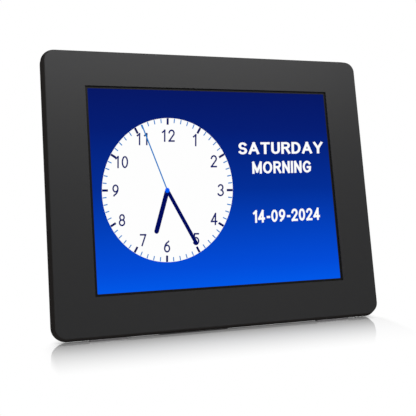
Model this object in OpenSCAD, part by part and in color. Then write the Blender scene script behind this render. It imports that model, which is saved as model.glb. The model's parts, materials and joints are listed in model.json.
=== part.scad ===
// Digital day clock with a flat moulded frame, an LCD module and a fold-out stand.
// Sizes are in millimetres and angles in degrees.
// The clock is drawn upright, with y as the depth behind its front face and z as the
// height above its lower edge, and clock_place() then leans it back onto the table.

/* [Frame] */
// Width of the frame's outline
frame_w = 208.4; // [198:0.1:230]
// Height of the frame's outline
frame_h = 171.4; // [164:0.1:190]
// Radius of the outline's corners, seen from the front
frame_r = 8.5; // [7:0.5:12]
// Radius of the rounded edge round the front face
edge_r = 0.6; // [0.4:0.1:1]
// How far the front face is drawn in from the outline by the bevel round it
bevel = 1.9; // [1:0.1:2.2]
// Depth of that bevel
bevel_depth = 5; // [4:0.1:5]
// Depth of the frame's rim
rim_depth = 9; // [9:0.1:12]
// Wall of the rim and of the rear cover
wall = 2.2; // [1.8:0.1:2.6]
// Thickness of the frame's front wall
face_t = 2; // [1.6:0.1:2.4]
// Thickness of the thin lip round the screen opening
lip_t = 0.7; // [0.5:0.1:1]
// Depth of the whole case
case_depth = 25; // [24.6:0.1:29]
// Backward lean of the frame on the table
lean = 13; // [9:0.5:17]
// Thickness of the stiffening ribs inside the frame
rib_t = 1.2; // [0.8:0.1:1.6]
// Height of the stiffening ribs above the front wall
rib_h = 3.5; // [2:0.1:3.8]

/* [Feet] */
// Distance of each rubber foot's middle from the frame's middle
foot_x = 72; // [50:1:85]
// Length of each rubber foot
foot_l = 22; // [16:1:30]
// Depth of each rubber foot
foot_d = 3.2; // [3:0.1:5]
// Distance of the feet from the rim's rear edge
foot_back = 0.6; // [0.3:0.1:1]
// Height of the rim's rear edge above the table
foot_gap = 0.3; // [0.2:0.1:1]

/* [Screen] */
// Distance of the screen opening from the outline at each side
face_side = 24.95; // [23:0.05:28]
// Distance from the outline above and below to an opening in the frame's middle
face_ends = 23.5; // [22:0.05:26]
// Black border of the glass that shows inside the opening
border = 1.45; // [0.8:0.05:2]
// Height of the screen's middle above the frame's middle
screen_rise = 0.5; // [0:0.1:3]
// Margin of the LCD module beside the lit picture
module_side = 7.2; // [6.5:0.1:8]
// Margin of the LCD module above and below the lit picture
module_ends = 6.75; // [6:0.05:8]
// Wall of the module's plastic frame round the glass
glass_margin = 2; // [1.5:0.1:2.5]
// Width of the ledge that the glass lies on
ledge = 2; // [1.5:0.1:2.5]
// Thickness of the foam gasket
gasket_t = 0.3; // [0.2:0.05:0.5]
// Thickness of the glass cell
glass_t = 1.4; // [1.1:0.1:1.8]
// Thickness of the diffuser sheet
film_t = 0.5; // [0.3:0.1:0.7]
// Thickness of the light guide
guide_t = 2; // [1.6:0.1:2.4]
// Thickness of the reflector sheet
reflector_t = 0.2; // [0.1:0.05:0.3]
// Thickness of the steel tray
tray_t = 0.5; // [0.4:0.1:0.6]
// Height of the pressed ribs on the tray
tray_rib = 0.5; // [0.3:0.1:0.7]
// Thickness of the backlight's circuit strip
strip_t = 0.8; // [0.6:0.1:1]
// Number of light emitting diodes
led_count = 12; // [8:1:16]
// Length of one light emitting diode
led_l = 3.5; // [3:0.1:5]
// Height of one light emitting diode
led_h = 1; // [0.8:0.1:1.4]
// Width of the clamp tabs
clamp_w = 10; // [8:0.5:12]
// Thickness of the clamp tabs
clamp_t = 0.8; // [0.6:0.1:0.9]

/* [Rear cover] */
// Distance of the raised back from the frame's outline
pan_inset = 10; // [9:0.5:11]
// Corner radius of the raised back at its base
pan_r = 14; // [12:0.5:18]
// How far the raised back's sides draw in
pan_taper = 4; // [2:0.5:5]
// Radius of the raised back's rear edge
pan_edge_r = 3; // [2:0.25:4]
// Thickness of the cover's flange inside the rim
flange_t = 2.4; // [2.2:0.1:2.6]
// Distance of each keyhole from the middle
keyhole_x = 60; // [52:1:70]
// Distance of the keyholes' round entries below the top edge
keyhole_drop = 53.3; // [50:0.1:60]
// Radius of a keyhole's round entry
keyhole_r = 4.5; // [3.5:0.1:5]
// Radius of a keyhole's slot
keyhole_slot_r = 2.2; // [1.5:0.1:2.4]
// Length of a keyhole's slot above the entry's middle
keyhole_slot_l = 9; // [7:0.5:11]
// Room behind a keyhole for the screw head
keyhole_room = 3.2; // [2.5:0.1:3.4]
// Width of the speaker and vent slots
slot_w = 1.6; // [1.2:0.1:2]
// Spacing of the speaker slots
slot_pitch = 3.3; // [3:0.1:4]
// Length of the vent slots
vent_l = 30; // [20:1:34]
// Number of vent slots
vent_count = 6; // [3:1:7]
// Height of the lowest vent slot
vent_z = 50; // [48:1:56]

/* [Stand] */
// Distance of the stand's hinge below the top edge
hinge_drop = 51.3; // [48:0.1:60]
// Lean of the opened leg from upright
leg_lean = 15; // [10:0.5:20]
// Width of the leg at its hinge
leg_top_w = 36; // [30:0.5:40]
// Width of the leg at its foot
leg_foot_w = 52; // [44:0.5:56]
// Thickness of the leg with its ribs
leg_t = 4.6; // [4.4:0.1:5]
// Thickness of the leg's plate and of its ribs
leg_skin = 2; // [1.6:0.1:2.2]
// Corner radius of the leg's lower end
leg_r = 4; // [3:0.5:6]
// Radius of the leg's hinge barrel
barrel_r = 3.2; // [3:0.1:3.4]
// Length of the heel above the hinge, which meets the stop
heel_l = 6; // [5:0.5:7]
// Radius of the steel hinge pin
pin_r = 1.5; // [1.2:0.1:1.6]
// Length of the pin that sits in each side of the cover
pin_seat = 5; // [4:0.5:6]
// Length of the rubber foot pad at the middle of the leg's end
pad_l = 3.4; // [3:0.1:4]
// Length of the tongue that holds the foot pad
tongue_l = 1.6; // [1.2:0.1:1.8]
// Thickness of the tongue that holds the foot pad
tongue_t = 1.4; // [1.2:0.1:1.6]

/* [Buttons] */
// Distance of the button row below the top edge
button_drop = 28.3; // [26:0.1:30]
// Spacing of the buttons
button_pitch = 15; // [14:0.5:16]
// Radius of a button cap
cap_r = 4.2; // [3.6:0.1:4.4]
// Radius of the collar that keeps a cap in the cover
collar_r = 5.1; // [4.9:0.1:5.2]
// Thickness of the cap's collar
collar_t = 1.2; // [1:0.1:1.3]
// How far a cap stands out of the cover
cap_proud = 0.9; // [0.7:0.1:1.2]
// Depth of the finger dish in a cap
dish = 0.35; // [0.2:0.05:0.5]
// Travel of a button
travel = 0.4; // [0.25:0.05:0.5]
// Side of a switch body
switch_w = 6; // [5:0.1:6.2]
// Height of a switch body
switch_t = 3.5; // [3:0.1:4]
// Radius of a switch plunger
plunger_r = 1.7; // [1.4:0.1:1.8]
// Length of a switch plunger
plunger_l = 2.3; // [2.1:0.1:2.5]

/* [Boards] */
// Thickness of the circuit boards
board_t = 1.6; // [1.2:0.2:1.6]
// Room at each side of the main board
board_side_gap = 3.65; // [3:0.05:6]
// Height of the main board's lower edge above the LCD module's lower edge
board_rise = 5.35; // [4:0.05:8]
// Room between the main board and the keyhole boxes above it
board_top_gap = 1.3; // [1:0.1:6]
// Gap between the tray and the main board
board_gap = 3.4; // [3.2:0.1:3.8]
// Length of the key board beyond each outer button
key_board_end = 13.5; // [13:0.5:16]
// Height of the key board
key_board_h = 12; // [11:0.5:13]
// Radius of the board posts
post_r = 3; // [2.6:0.1:3.2]
// Radius of the coin cell
cell_r = 10; // [8:0.5:10]
// Thickness of the coin cell
cell_t = 3.2; // [2:0.1:3.2]
// Thickness of the flat cables
ribbon_t = 0.25; // [0.2:0.05:0.35]
// Width of the screen's flat cable
ribbon_w = 24; // [20:1:26]
// Width of the key board's flat cable
key_cable_w = 8; // [6:0.5:10]
// Radius of the power socket's barrel
barrel_hole_r = 3.2; // [3.1:0.05:3.4]
// Radius of the power socket's centre pin
contact_r = 1.05; // [0.9:0.05:1.25]
// Height of the power socket's closed end above the main board
socket_base = 2.5; // [2.3:0.1:3]
// Distance of the centre pin's tip behind the socket's mouth
contact_set = 1; // [0.5:0.1:1.5]
// Radius of the cover's opening round the power socket
socket_hole_r = 5.2; // [4.8:0.1:5.4]

/* [Speaker] */
// Height of the speaker's middle
speaker_z = 56; // [52:1:60]
// Radius of the speaker
speaker_r = 16; // [14:0.5:18]
// Radius of the area covered by the speaker slots
grille_r = 12.4; // [10:0.1:13]
// Depth of the speaker's basket
basket_d = 5; // [4.6:0.1:6]
// Radius of the speaker's magnet
magnet_r = 8; // [7:0.5:9]
// Thickness of the speaker's magnet
magnet_t = 3.6; // [3:0.1:4]
// Radius of one speaker wire
wire_r = 0.6; // [0.4:0.05:0.7]

/* [Screws] */
// Radius of the small screws' shanks
screw_r = 1; // [0.8:0.1:1.1]
// Radius of the small screws' heads
screw_head_r = 2; // [1.8:0.1:2.2]
// Height of all screw heads
screw_head_t = 1.1; // [1:0.05:1.15]
// Length of the small screws' shanks
screw_l = 4; // [3.5:0.1:4.5]
// Radius of the cover screws' shanks
cover_screw_r = 1.2; // [1:0.1:1.3]
// Radius of the cover screws' heads
cover_head_r = 2.4; // [2.2:0.1:2.5]
// Length of the cover screws' shanks
cover_screw_l = 5; // [4.5:0.1:5.4]
// Radius of the frame's bosses for the cover screws
boss_r = 3.5; // [3.5:0.1:3.8]

/* [Clearances] */
// Gap round the pieces that drop into a seat
seat_gap = 0.2; // [0.1:0.05:0.3]
// Gap round the leg in its recess
leg_gap = 0.6; // [0.4:0.05:0.8]
// Gap between the opened leg's heel and its stop
stop_gap = 0.1; // [0.06:0.01:0.2]
// Running clearance between the hinge pin and the leg
pin_gap = 0.05; // [0.03:0.01:0.08]
// Gap round a button cap in the cover
button_gap = 0.25; // [0.2:0.05:0.3]
// Gap behind a button's collar at rest
collar_gap = 0.05; // [0.03:0.01:0.1]

/* [Hidden] */
$fn = 48;

// How far cuts run past a face
overrun = 1;
// Thickness of the layers that a hull joins
layer_t = 0.02;
// Steps of each rounded edge
edge_steps = 5;
// Sides of a full circle in the rounded outlines
outline_fn = 48;

// Heights of the middles, upright
frame_mid = frame_h / 2;
screen_mid = frame_mid + screen_rise;

// Sizes of the opening in the frame, of the lit picture and of the LCD module
open_w = frame_w - 2 * face_side;
open_h = frame_h - 2 * face_ends;
active_w = open_w - 2 * border;
active_h = open_h - 2 * border;
module_w = active_w + 2 * module_side;
module_h = active_h + 2 * module_ends;

// Depths of the screen's layers behind the front face
glass_y = lip_t + gasket_t;
film_y = glass_y + glass_t;
guide_y = film_y + film_t;
reflector_y = guide_y + guide_t;
tray_y = reflector_y + reflector_t;
tray_back = tray_y + tray_t;

// Sizes of the glass and of the films behind it
glass_w = module_w - 2 * glass_margin;
glass_h = module_h - 2 * glass_margin;
film_w = glass_w - 2 * ledge;
film_h = glass_h - 2 * ledge;
film_bottom = screen_mid - film_h / 2;
strip_zone = strip_t + led_h;

// Places of the clamp bosses beside the LCD module
clamp_share = 0.3;
clamp_boss_r = 2.6;
clamp_x = module_w / 2 + 2 * seat_gap + clamp_boss_r;
clamp_places = [for (side = [-1, 1]) for (level = [-1, 1])
    [side * clamp_x, screen_mid + level * module_h * clamp_share]];

// Places of the screws that hold the rear cover
cover_inset = (wall + pan_inset) / 2;
side_screw_share = 0.33;
end_screw_share = 0.3;
cover_places = concat(
    [for (side = [-1, 1]) for (level = [-1, 1])
        [side * (frame_w / 2 - cover_inset), frame_mid + level * frame_h * side_screw_share]],
    [for (side = [-1, 1]) for (level = [-1, 1])
        [side * frame_w * end_screw_share, frame_mid + level * (frame_h / 2 - cover_inset)]]);
rib_shares = [0.35, 0.5, 0.65];

// Rear cover
flange_y = rim_depth - flange_t;
cover_in = case_depth - wall;
button_z = frame_h - button_drop;
hinge_z = frame_h - hinge_drop;

// Room inside the cover at each side of the leg's housing, measured from the middle
room_in = leg_foot_w / 2 + leg_gap + wall;
room_out = frame_w / 2 - pan_inset - pan_taper - wall;
room_mid = (room_in + room_out) / 2;

// Keyholes: the room for a screw head, and the box round it
keyhole_z = frame_h - keyhole_drop;
keyhole_room_w = 2 * keyhole_r + wall;
keyhole_room_h = 2 * keyhole_r + keyhole_slot_l + wall - keyhole_slot_r;
keyhole_room_z = keyhole_z + (keyhole_slot_l - keyhole_slot_r) / 2;

// Main board
board_y = tray_back + board_gap;
board_back = board_y + board_t;
board_mid = -room_mid;
board_w = room_out - room_in - 2 * board_side_gap;
board_low = screen_mid - module_h / 2 + board_rise;
board_top = keyhole_room_z - (keyhole_room_h + wall) / 2 - board_top_gap;
board_h = board_top - board_low;
board_z = (board_low + board_top) / 2;
board_margin = 1;
post_inset = post_r + board_margin;
post_places = [for (side = [-1, 1]) for (level = [-1, 1])
    [board_mid + side * (board_w / 2 - post_inset), board_z + level * (board_h / 2 - post_inset)]];

// A place on the main board, given as shares of its width and height from its middle
function on_board(shares) = [board_mid + board_w * shares[0], board_z + board_h * shares[1]];

// Sizes of the parts on the main board's rear face
processor_w = 14;
processor_t = 1.4;
memory_w = 6;
memory_h = 9;
memory_t = 1.1;
memory_pitch = 10;
inductor_w = 7;
inductor_t = 3.6;
can_r = 2.5;
can_t = 5.6;
can_inset = 5.2;
can_pitch = 6.2;
plug_w = 6;
plug_h = 5;
plug_t = 4.4;
key_plug_t = 2;
connector_h = 4.5;

// Heights of the speaker's plug, the memory chips, the cans and the key board's connector, which
// stand above one another between the board's right-hand posts with even gaps
column = [plug_h, memory_pitch + memory_h, can_pitch + 2 * can_r, connector_h];
column_gap = (board_h - 2 * (post_inset + post_r) - total(column, len(column))) / (len(column) + 1);

// Sum of the first n values
function total(values, n) = n == 0 ? 0 : values[n - 1] + total(values, n - 1);

// Height of the lower edge of a part in that column, counted from 0
function column_low(i) = board_low + post_inset + post_r + (i + 1) * column_gap + total(column, i);

// Places of those parts, given as shares of the board where they have room around them
processor_shares = [0.04, -0.15];
inductor_shares = [-0.294, -0.12];
lone_can_shares = [0.03, -0.33];
memory_x_share = 0.333;
plug_x_share = 0.3;
processor_place = on_board(processor_shares);
inductor_place = on_board(inductor_shares);
memory_place = [board_mid + board_w * memory_x_share, column_low(1) + (memory_pitch + memory_h) / 2];
plug_place = [board_mid + board_w * plug_x_share, column_low(0) + plug_h / 2];
can_x = board_mid + board_w / 2 - can_inset;
can_places = [[can_x, column_low(2) + can_r], [can_x, column_low(2) + can_r + can_pitch],
    on_board(lone_can_shares)];

// Key board, buttons and switches, from the cover's inner face forwards
collar_y = cover_in - collar_gap - collar_t;
plunger_y = collar_y - plunger_neck();
switch_back = plunger_y - plunger_l + plunger_sunk();
key_back = switch_back - switch_t;
key_y = key_back - board_t;
BUTTONS = ["power", "menu", "left", "right", "up", "down"];
key_board_w = (len(BUTTONS) - 1) * button_pitch + 2 * key_board_end;
key_post_x = key_board_w / 2 - post_inset + seat_gap;
key_post_r = screw_r * 2.4;

// Length of a cap below its collar
function plunger_neck() = collar_t / 2;
// Length of a plunger inside its switch
function plunger_sunk() = plunger_l / 2;
// Distance of a button from the middle
function button_x(name) = [for (i = [0 : len(BUTTONS) - 1])
    if (BUTTONS[i] == name) (i - (len(BUTTONS) - 1) / 2) * button_pitch][0];

// Power socket on the main board
socket_shares = [-0.25, -0.3125];
socket_place = on_board(socket_shares);
socket_w = 2 * barrel_hole_r + 2 * wall;
socket_face = cover_in - seat_gap;
contact_base = board_back + socket_base;
contact_tip = socket_face - contact_set;

// Coin cell on the main board
cell_shares = [-0.2, 0.165];
cell_place = on_board(cell_shares);
holder_wall = 1.2;

// Screen cable and its connector
connector_rise = 6.5;
connector_z = board_z - board_h / 2 + connector_rise;
connector_grip = 1;
ribbon_y = tray_back + tray_rib + ribbon_t;
ribbon_drop = 1.4;
ribbon_low = screen_mid - module_h / 2 - ribbon_drop;

// Speaker, from the cover's inner face forwards
speaker_x = room_mid;
speaker_seat = 1;
speaker_gasket_t = 0.6;
speaker_y = cover_in - speaker_seat - speaker_gasket_t;
speaker_flange_t = 1;
speaker_front = speaker_y - speaker_flange_t;
speaker_boss_r = 2.2;
speaker_boss_ring = speaker_r + speaker_boss_r + seat_gap;
speaker_angles = [90, 210, 330];
cone_t = 0.5;

// Connector on the main board for the flat cable from the key board
key_cable_gap = 2;
key_plug_x = board_mid + board_w / 2 - post_inset - post_r - key_cable_gap - key_cable_w / 2;
key_plug_top = column_low(3) + connector_h;

// Stand: the hinge lies so that the leg's rear face is flush with the case
leg_set = 0.2;
hinge_y = case_depth - leg_set - barrel_r;
leg_open = lean + leg_lean;
leg_front = barrel_r - leg_t;
leg_plate = barrel_r - leg_skin;
recess_y = hinge_y + leg_front - leg_gap;
heel_room = sqrt(heel_l * heel_l + barrel_r * barrel_r) + leg_gap;

// The table lies under the rear lower edge of the rim
lift = rim_depth * sin(lean) + foot_gap;
hinge_height = lift - hinge_y * sin(lean) + hinge_z * cos(lean);
hinge_depth = hinge_y * cos(lean) + hinge_z * sin(lean);

// Length of the leg from hinge to table, at a distance v behind the hinge's middle
function leg_reach(v) = (hinge_height + v * sin(leg_lean)) / cos(leg_lean);
leg_end = leg_reach(leg_front) - pad_l;

// Front and rear limits of the clock on the table, which centre it
front_limit = edge_r * cos(lean) + (edge_r + bevel) * sin(lean) - edge_r;
rear_limit = hinge_depth + leg_reach(barrel_r) * sin(leg_lean) + barrel_r * cos(leg_lean);

// Leans the upright clock back onto the table and centres it
module clock_place() {
    translate([0, -(front_limit + rear_limit) / 2, lift])
        rotate([-lean, 0, 0])
            children();
}

// Extrudes an outline of x and z from depth y0 to depth y1
module slab(y0, y1) {
    translate([0, y1, 0])
        rotate([90, 0, 0])
            linear_extrude(y1 - y0)
                children();
}

// A round bar along the depth
module bar(r, y0, y1) {
    translate([0, y1, 0])
        rotate([90, 0, 0])
            cylinder(r = r, h = y1 - y0);
}

// A profile of radius and depth, turned about the depth axis
module turned() {
    rotate([-90, 0, 0])
        rotate_extrude()
            children();
}

// Puts its children at a place of x and z
module at(place) {
    translate([place[0], 0, place[1]])
        children();
}

// An outline with round corners about its own middle
module round_rect(w, h, r) {
    square([w - 2 * r, h], center = true);
    square([w, h - 2 * r], center = true);
    for (side = [-1, 1], level = [-1, 1])
        translate([side * (w / 2 - r), level * (h / 2 - r)])
            circle(r);
}

// A slot outline with round ends
module slot(length, width) {
    square([length - width, width], center = true);
    for (side = [-1, 1])
        translate([side * (length - width) / 2, 0])
            circle(width / 2);
}

// A rounded block about the frame's middle, joined from layers of [start, end, inset, radius]
module layered(layers) {
    hull()
        for (layer = layers, side = [-1, 1], level = [-1, 1])
            translate([side * (frame_w / 2 - layer[2] - layer[3]), 0,
                       frame_mid + level * (frame_h / 2 - layer[2] - layer[3])])
                bar(layer[3], layer[0], layer[1], $fn = outline_fn);
}

// A screw with its head's seat at depth 0, its shank towards the rear and a cross recess
module screw(shank_r, head_r, length) {
    difference() {
        union() {
            bar(head_r, -screw_head_t, 0);
            bar(shank_r, 0, length);
        }
        for (turn = [0, 90])
            rotate([0, turn, 0])
                translate([-head_r * 0.6, -screw_head_t * 1.5, -head_r * 0.12])
                    cube([head_r * 1.2, screw_head_t, head_r * 0.24]);
    }
}

// Unit normal of the stretch that starts at point i
function stretch_normal(points, i) =
    let (step = points[i + 1] - points[i])
    [-step[1], step[0]] / norm(step);

// Corner i of a strip's edge, at a distance d beside its middle line
function strip_corner(points, i, d) =
    let (a = stretch_normal(points, max(i - 1, 0)),
         b = stretch_normal(points, min(i, len(points) - 2)))
    points[i] + d * (a + b) / (1 + a * b);

// A flat strip of even thickness along points
module strip(points, t) {
    last = len(points) - 1;
    polygon(concat([for (i = [0 : last]) strip_corner(points, i, t / 2)],
                   [for (i = [last : -1 : 0]) strip_corner(points, i, -t / 2)]));
}

// A flat cable of a given width whose edge follows points of depth and height
module flat_cable(x, width, points) {
    translate([x - width / 2, 0, 0])
        rotate([90, 0, 90])
            linear_extrude(width)
                strip(points, ribbon_t);
}

// A point at a share t along a smooth curve with four guiding points
function curve(p, t) = pow(1 - t, 3) * p[0] + 3 * t * pow(1 - t, 2) * p[1]
    + 3 * t * t * (1 - t) * p[2] + pow(t, 3) * p[3];

// A round wire along a smooth curve with four guiding points
module wire(guides, r) {
    rings = 20;
    sides = 8;
    path = [for (i = [0 : rings]) curve(guides, i / rings)];
    points = [for (i = [0 : rings], k = [0 : sides - 1])
        let (ahead = path[min(i + 1, rings)] - path[max(i - 1, 0)],
             across = cross(ahead, [0, 1, 0]) / norm(cross(ahead, [0, 1, 0])),
             up = cross(across, ahead) / norm(ahead),
             turn = 360 * k / sides)
        path[i] + r * (cos(turn) * across + sin(turn) * up)];
    walls = [for (i = [0 : rings - 1], k = [0 : sides - 1])
        let (a = i * sides + k, b = i * sides + (k + 1) % sides)
        each [[a, b, b + sides], [a, b + sides, a + sides]]];
    polyhedron(points, concat(
        [[for (k = [sides - 1 : -1 : 0]) k]], walls, [[for (k = [0 : sides - 1]) rings * sides + k]]));
}

// Front frame

// Layers of the rounded front edge, and the rim behind the bevel as the last of them
function bezel_layers() = concat(
    [for (i = [0 : edge_steps])
        let (turn = 90 * i / edge_steps,
             depth = edge_r * (1 - cos(turn)),
             inset = bevel + edge_r * (1 - sin(turn)))
        [depth, depth + layer_t, inset, frame_r - inset]],
    [[bevel_depth, rim_depth, 0, frame_r]]);

// Bosses for the cover screws and the clamp screws, joined to the rim by short ribs
module bezel_bosses() {
    for (place = cover_places)
        at(place)
            bar(boss_r, face_t / 2, flange_y);
    rim_x = (frame_w - wall) / 2 - bevel;
    for (place = clamp_places) {
        at(place)
            bar(clamp_boss_r, face_t / 2, tray_back);
        translate([place[0] > 0 ? clamp_x : -rim_x, face_t / 2, place[1] - rib_t / 2])
            cube([rim_x - clamp_x, tray_y - face_t, rib_t]);
    }
}

// Stiffening ribs between the LCD module and the rim
module bezel_ribs() {
    inner = module_w / 2;
    reach = (frame_w - wall) / 2 - bevel - inner;
    for (side = [-1, 1], share = rib_shares)
        translate([side * (inner + reach / 2), (face_t * 1.5 + rib_h) / 2, frame_h * share])
            cube([reach, face_t / 2 + rib_h, rib_t], center = true);
}

// Room inside the rim from a given depth, drawn in from the outline by a margin
module bezel_room(margin, y0) {
    translate([0, 0, frame_mid])
        slab(y0, rim_depth + overrun)
            round_rect(frame_w - 2 * margin, frame_h - 2 * margin, frame_r - margin);
}

module front_bezel() {
    color("#4b4b4c")
    clock_place()
        difference() {
            union() {
                difference() {
                    layered(bezel_layers());
                    bezel_room(bevel + wall, face_t);
                    bezel_room(wall, bevel_depth);
                }
                bezel_bosses();
                bezel_ribs();
            }
            translate([0, 0, screen_mid]) {
                slab(lip_t, tray_back)
                    square([module_w + 2 * seat_gap, module_h + 2 * seat_gap], center = true);
                slab(-overrun, face_t)
                    square([open_w, open_h], center = true);
            }
            for (place = cover_places)
                at(place)
                    bar(cover_screw_r, rim_depth - screw_head_t - cover_screw_l, rim_depth);
            for (place = clamp_places)
                at(place)
                    bar(screw_r, tray_back + clamp_t - screw_l, rim_depth);
        }
}

// Depth and height of the table under a point of the rim's lower face
function table_z(y) = y * tan(lean) - lift / cos(lean);

module bezel_feet() {
    foot_rear = rim_depth - foot_back;
    foot_y = foot_rear - foot_d;
    color("#202021")
    clock_place()
        for (side = [-1, 1])
            translate([side * foot_x - foot_l / 2, 0, 0])
                rotate([90, 0, 90])
                    linear_extrude(foot_l)
                        polygon([[foot_y, 0], [foot_rear, 0],
                                 [foot_rear, table_z(foot_rear)], [foot_y, table_z(foot_y)]]);
}

// LCD module

module screen_gasket() {
    color("#1c1c1c")
    clock_place()
        translate([0, 0, screen_mid])
            slab(lip_t, glass_y)
                difference() {
                    square([glass_w, glass_h], center = true);
                    square([open_w, open_h], center = true);
                }
}

module lcd_glass() {
    color("#0a3a9c")
    clock_place()
        translate([0, 0, screen_mid])
            slab(glass_y, film_y)
                square([glass_w, glass_h], center = true);
}

module lcd_mid_frame() {
    notch_w = ribbon_w + 2 * seat_gap;
    color("#e8e8e6")
    clock_place()
        difference() {
            translate([0, 0, screen_mid])
                slab(glass_y, tray_y)
                    square([module_w, module_h], center = true);
            translate([0, 0, screen_mid]) {
                slab(glass_y - overrun, film_y)
                    square([glass_w, glass_h], center = true);
                slab(film_y - overrun, tray_y + overrun)
                    square([film_w, film_h], center = true);
            }
            translate([board_mid - notch_w / 2, glass_y - overrun, screen_mid - module_h / 2 - overrun])
                cube([notch_w, overrun + glass_t, overrun + glass_margin]);
        }
}

module diffuser_sheet() {
    color("#f4f4f2")
    clock_place()
        translate([0, 0, screen_mid])
            slab(film_y, guide_y)
                square([film_w, film_h], center = true);
}

module light_guide() {
    color("#dfeaf2")
    clock_place()
        translate([-film_w / 2, guide_y, film_bottom + strip_zone])
            cube([film_w, guide_t, film_h - strip_zone]);
}

module reflector_sheet() {
    color("#fafafa")
    clock_place()
        translate([0, 0, screen_mid])
            slab(reflector_y, tray_y)
                square([film_w, film_h], center = true);
}

module led_strip() {
    color("#2e6b45")
    clock_place()
        translate([-film_w / 2, guide_y, film_bottom])
            cube([film_w, guide_t, strip_t]);
}

module led_chips() {
    led_pitch = film_w / led_count;
    first = (led_pitch - led_l - film_w) / 2;
    color("#f3e9b5")
    clock_place()
        for (i = [0 : led_count - 1])
            translate([first + i * led_pitch, guide_y + seat_gap, film_bottom + strip_t])
                cube([led_l, guide_t - 2 * seat_gap, led_h]);
}

module backlight_tray() {
    rib_share = 0.72;
    rib_level_shares = [0.12, 0.34];
    color("#b9bcc0")
    clock_place()
        translate([0, 0, screen_mid]) {
            slab(tray_y, tray_back)
                round_rect(module_w, module_h, glass_margin);
            for (level = [-1, 1], share = rib_level_shares)
                translate([0, 0, level * module_h * share])
                    slab(tray_back - tray_t / 2, tray_back + tray_rib)
                        slot(module_w * rib_share, glass_margin * 2);
        }
}

module lcd_clamps() {
    clamp_l = clamp_boss_r + seat_gap + 2 * glass_margin + ledge;
    color("#a8abae")
    clock_place()
        for (place = clamp_places)
            difference() {
                at([place[0] - sign(place[0]) * (clamp_l / 2 - clamp_boss_r), place[1]])
                    slab(tray_back, tray_back + clamp_t)
                        round_rect(clamp_l + clamp_boss_r / 2, clamp_w, screw_r);
                at(place)
                    bar(screw_r, 0, case_depth);
            }
}

module clamp_screws() {
    color("#8d9094")
    clock_place()
        for (place = clamp_places)
            translate([place[0], tray_back + clamp_t, place[1]])
                mirror([0, 1, 0])
                    screw(screw_r, screw_head_r, screw_l);
}

module lcd_ribbon() {
    tail_y = face_t + ribbon_t;
    color("#c98a3a")
    clock_place()
        flat_cable(board_mid, ribbon_w,
            [[tail_y, screen_mid - glass_h / 2], [tail_y, ribbon_low],
             [ribbon_y, ribbon_low], [ribbon_y, connector_z]]);
}

// Main board

module main_board() {
    color("#1f6b3f")
    clock_place()
        difference() {
            at([board_mid, board_z])
                slab(board_y, board_back)
                    round_rect(board_w, board_h, screw_r);
            for (place = post_places)
                at(place)
                    bar(screw_r, board_y - overrun, board_back + overrun);
        }
}

// A chip with cut corners, seated on the board's rear face
module chip(place, w, h, t) {
    across = (w + h) / sqrt(2) - t / 4;
    at(place)
        slab(board_back, board_back + t)
            intersection() {
                square([w, h], center = true);
                rotate(45)
                    square(across, center = true);
            }
}

module main_processor() {
    color("#232326")
    clock_place()
        chip(processor_place, processor_w, processor_w, processor_t);
}

module memory_chips() {
    color("#28282c")
    clock_place()
        for (level = [-1, 1])
            chip(memory_place + [0, level * memory_pitch / 2], memory_w, memory_h, memory_t);
}

module power_inductor() {
    color("#3a3a3e")
    clock_place()
        chip(inductor_place, inductor_w, inductor_w, inductor_t);
}

module board_capacitors() {
    color("#c3c5c8")
    clock_place()
        for (place = can_places)
            at(place)
                translate([0, board_back, 0])
                    turned()
                        polygon([[0, 0], [can_r, 0], [can_r, can_t * 0.25], [can_r * 0.92, can_t * 0.3],
                                 [can_r, can_t * 0.35], [can_r, can_t], [0, can_t]]);
}

module ribbon_connector() {
    connector_w = ribbon_w + connector_h;
    connector_y = ribbon_y - ribbon_t * 2;
    color("#efe9dc")
    clock_place()
        difference() {
            translate([board_mid - connector_w / 2, connector_y, connector_z - connector_grip])
                cube([connector_w, board_y - connector_y, connector_h]);
            translate([board_mid, ribbon_y, connector_z - connector_grip])
                cube([ribbon_w, ribbon_t, 2 * connector_grip], center = true);
        }
}

module coin_cell_holder() {
    holder_r = cell_r + holder_wall + seat_gap;
    color("#2b2b2e")
    clock_place()
        at(cell_place)
            difference() {
                bar(holder_r, board_back, board_back + cell_t + holder_wall / 2);
                bar(cell_r + seat_gap, board_back + holder_wall / 2, case_depth);
                translate([-holder_r / 2, board_back + holder_wall / 2, holder_r / 2])
                    cube([holder_r, cell_t + overrun, holder_r]);
            }
}

module coin_cell() {
    bevel = cell_t / 8;
    color("#d4d6d8")
    clock_place()
        at(cell_place)
            translate([0, board_back + holder_wall / 2, 0])
                turned()
                    polygon([[0, 0], [cell_r - cell_t / 2, 0], [cell_r - cell_t / 4, bevel],
                             [cell_r, bevel * 2], [cell_r, cell_t - bevel], [cell_r - bevel, cell_t],
                             [0, cell_t]]);
}

module power_socket() {
    color("#1b1b1d")
    clock_place()
        at(socket_place)
            difference() {
                slab(board_back, socket_face)
                    round_rect(socket_w, socket_w, contact_r);
                bar(barrel_hole_r, contact_base, case_depth);
                bar(contact_r * 1.5, contact_base - wall, contact_base + overrun);
            }
}

module power_socket_pin() {
    color("#c9b26a")
    clock_place()
        at(socket_place)
            turned()
                polygon([[0, contact_base - wall], [contact_r * 1.5, contact_base - wall],
                         [contact_r * 1.5, contact_base], [contact_r, contact_base],
                         [contact_r, contact_tip - contact_r / 2], [contact_r / 2, contact_tip],
                         [0, contact_tip]]);
}

module board_screws() {
    color("#8d9094")
    clock_place()
        for (place = post_places)
            translate([place[0], board_y, place[1]])
                screw(screw_r, screw_head_r, screw_l);
}

// Speaker

// Puts its children about the speaker's middle
module at_speaker() {
    at([speaker_x, speaker_z])
        children();
}

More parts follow.
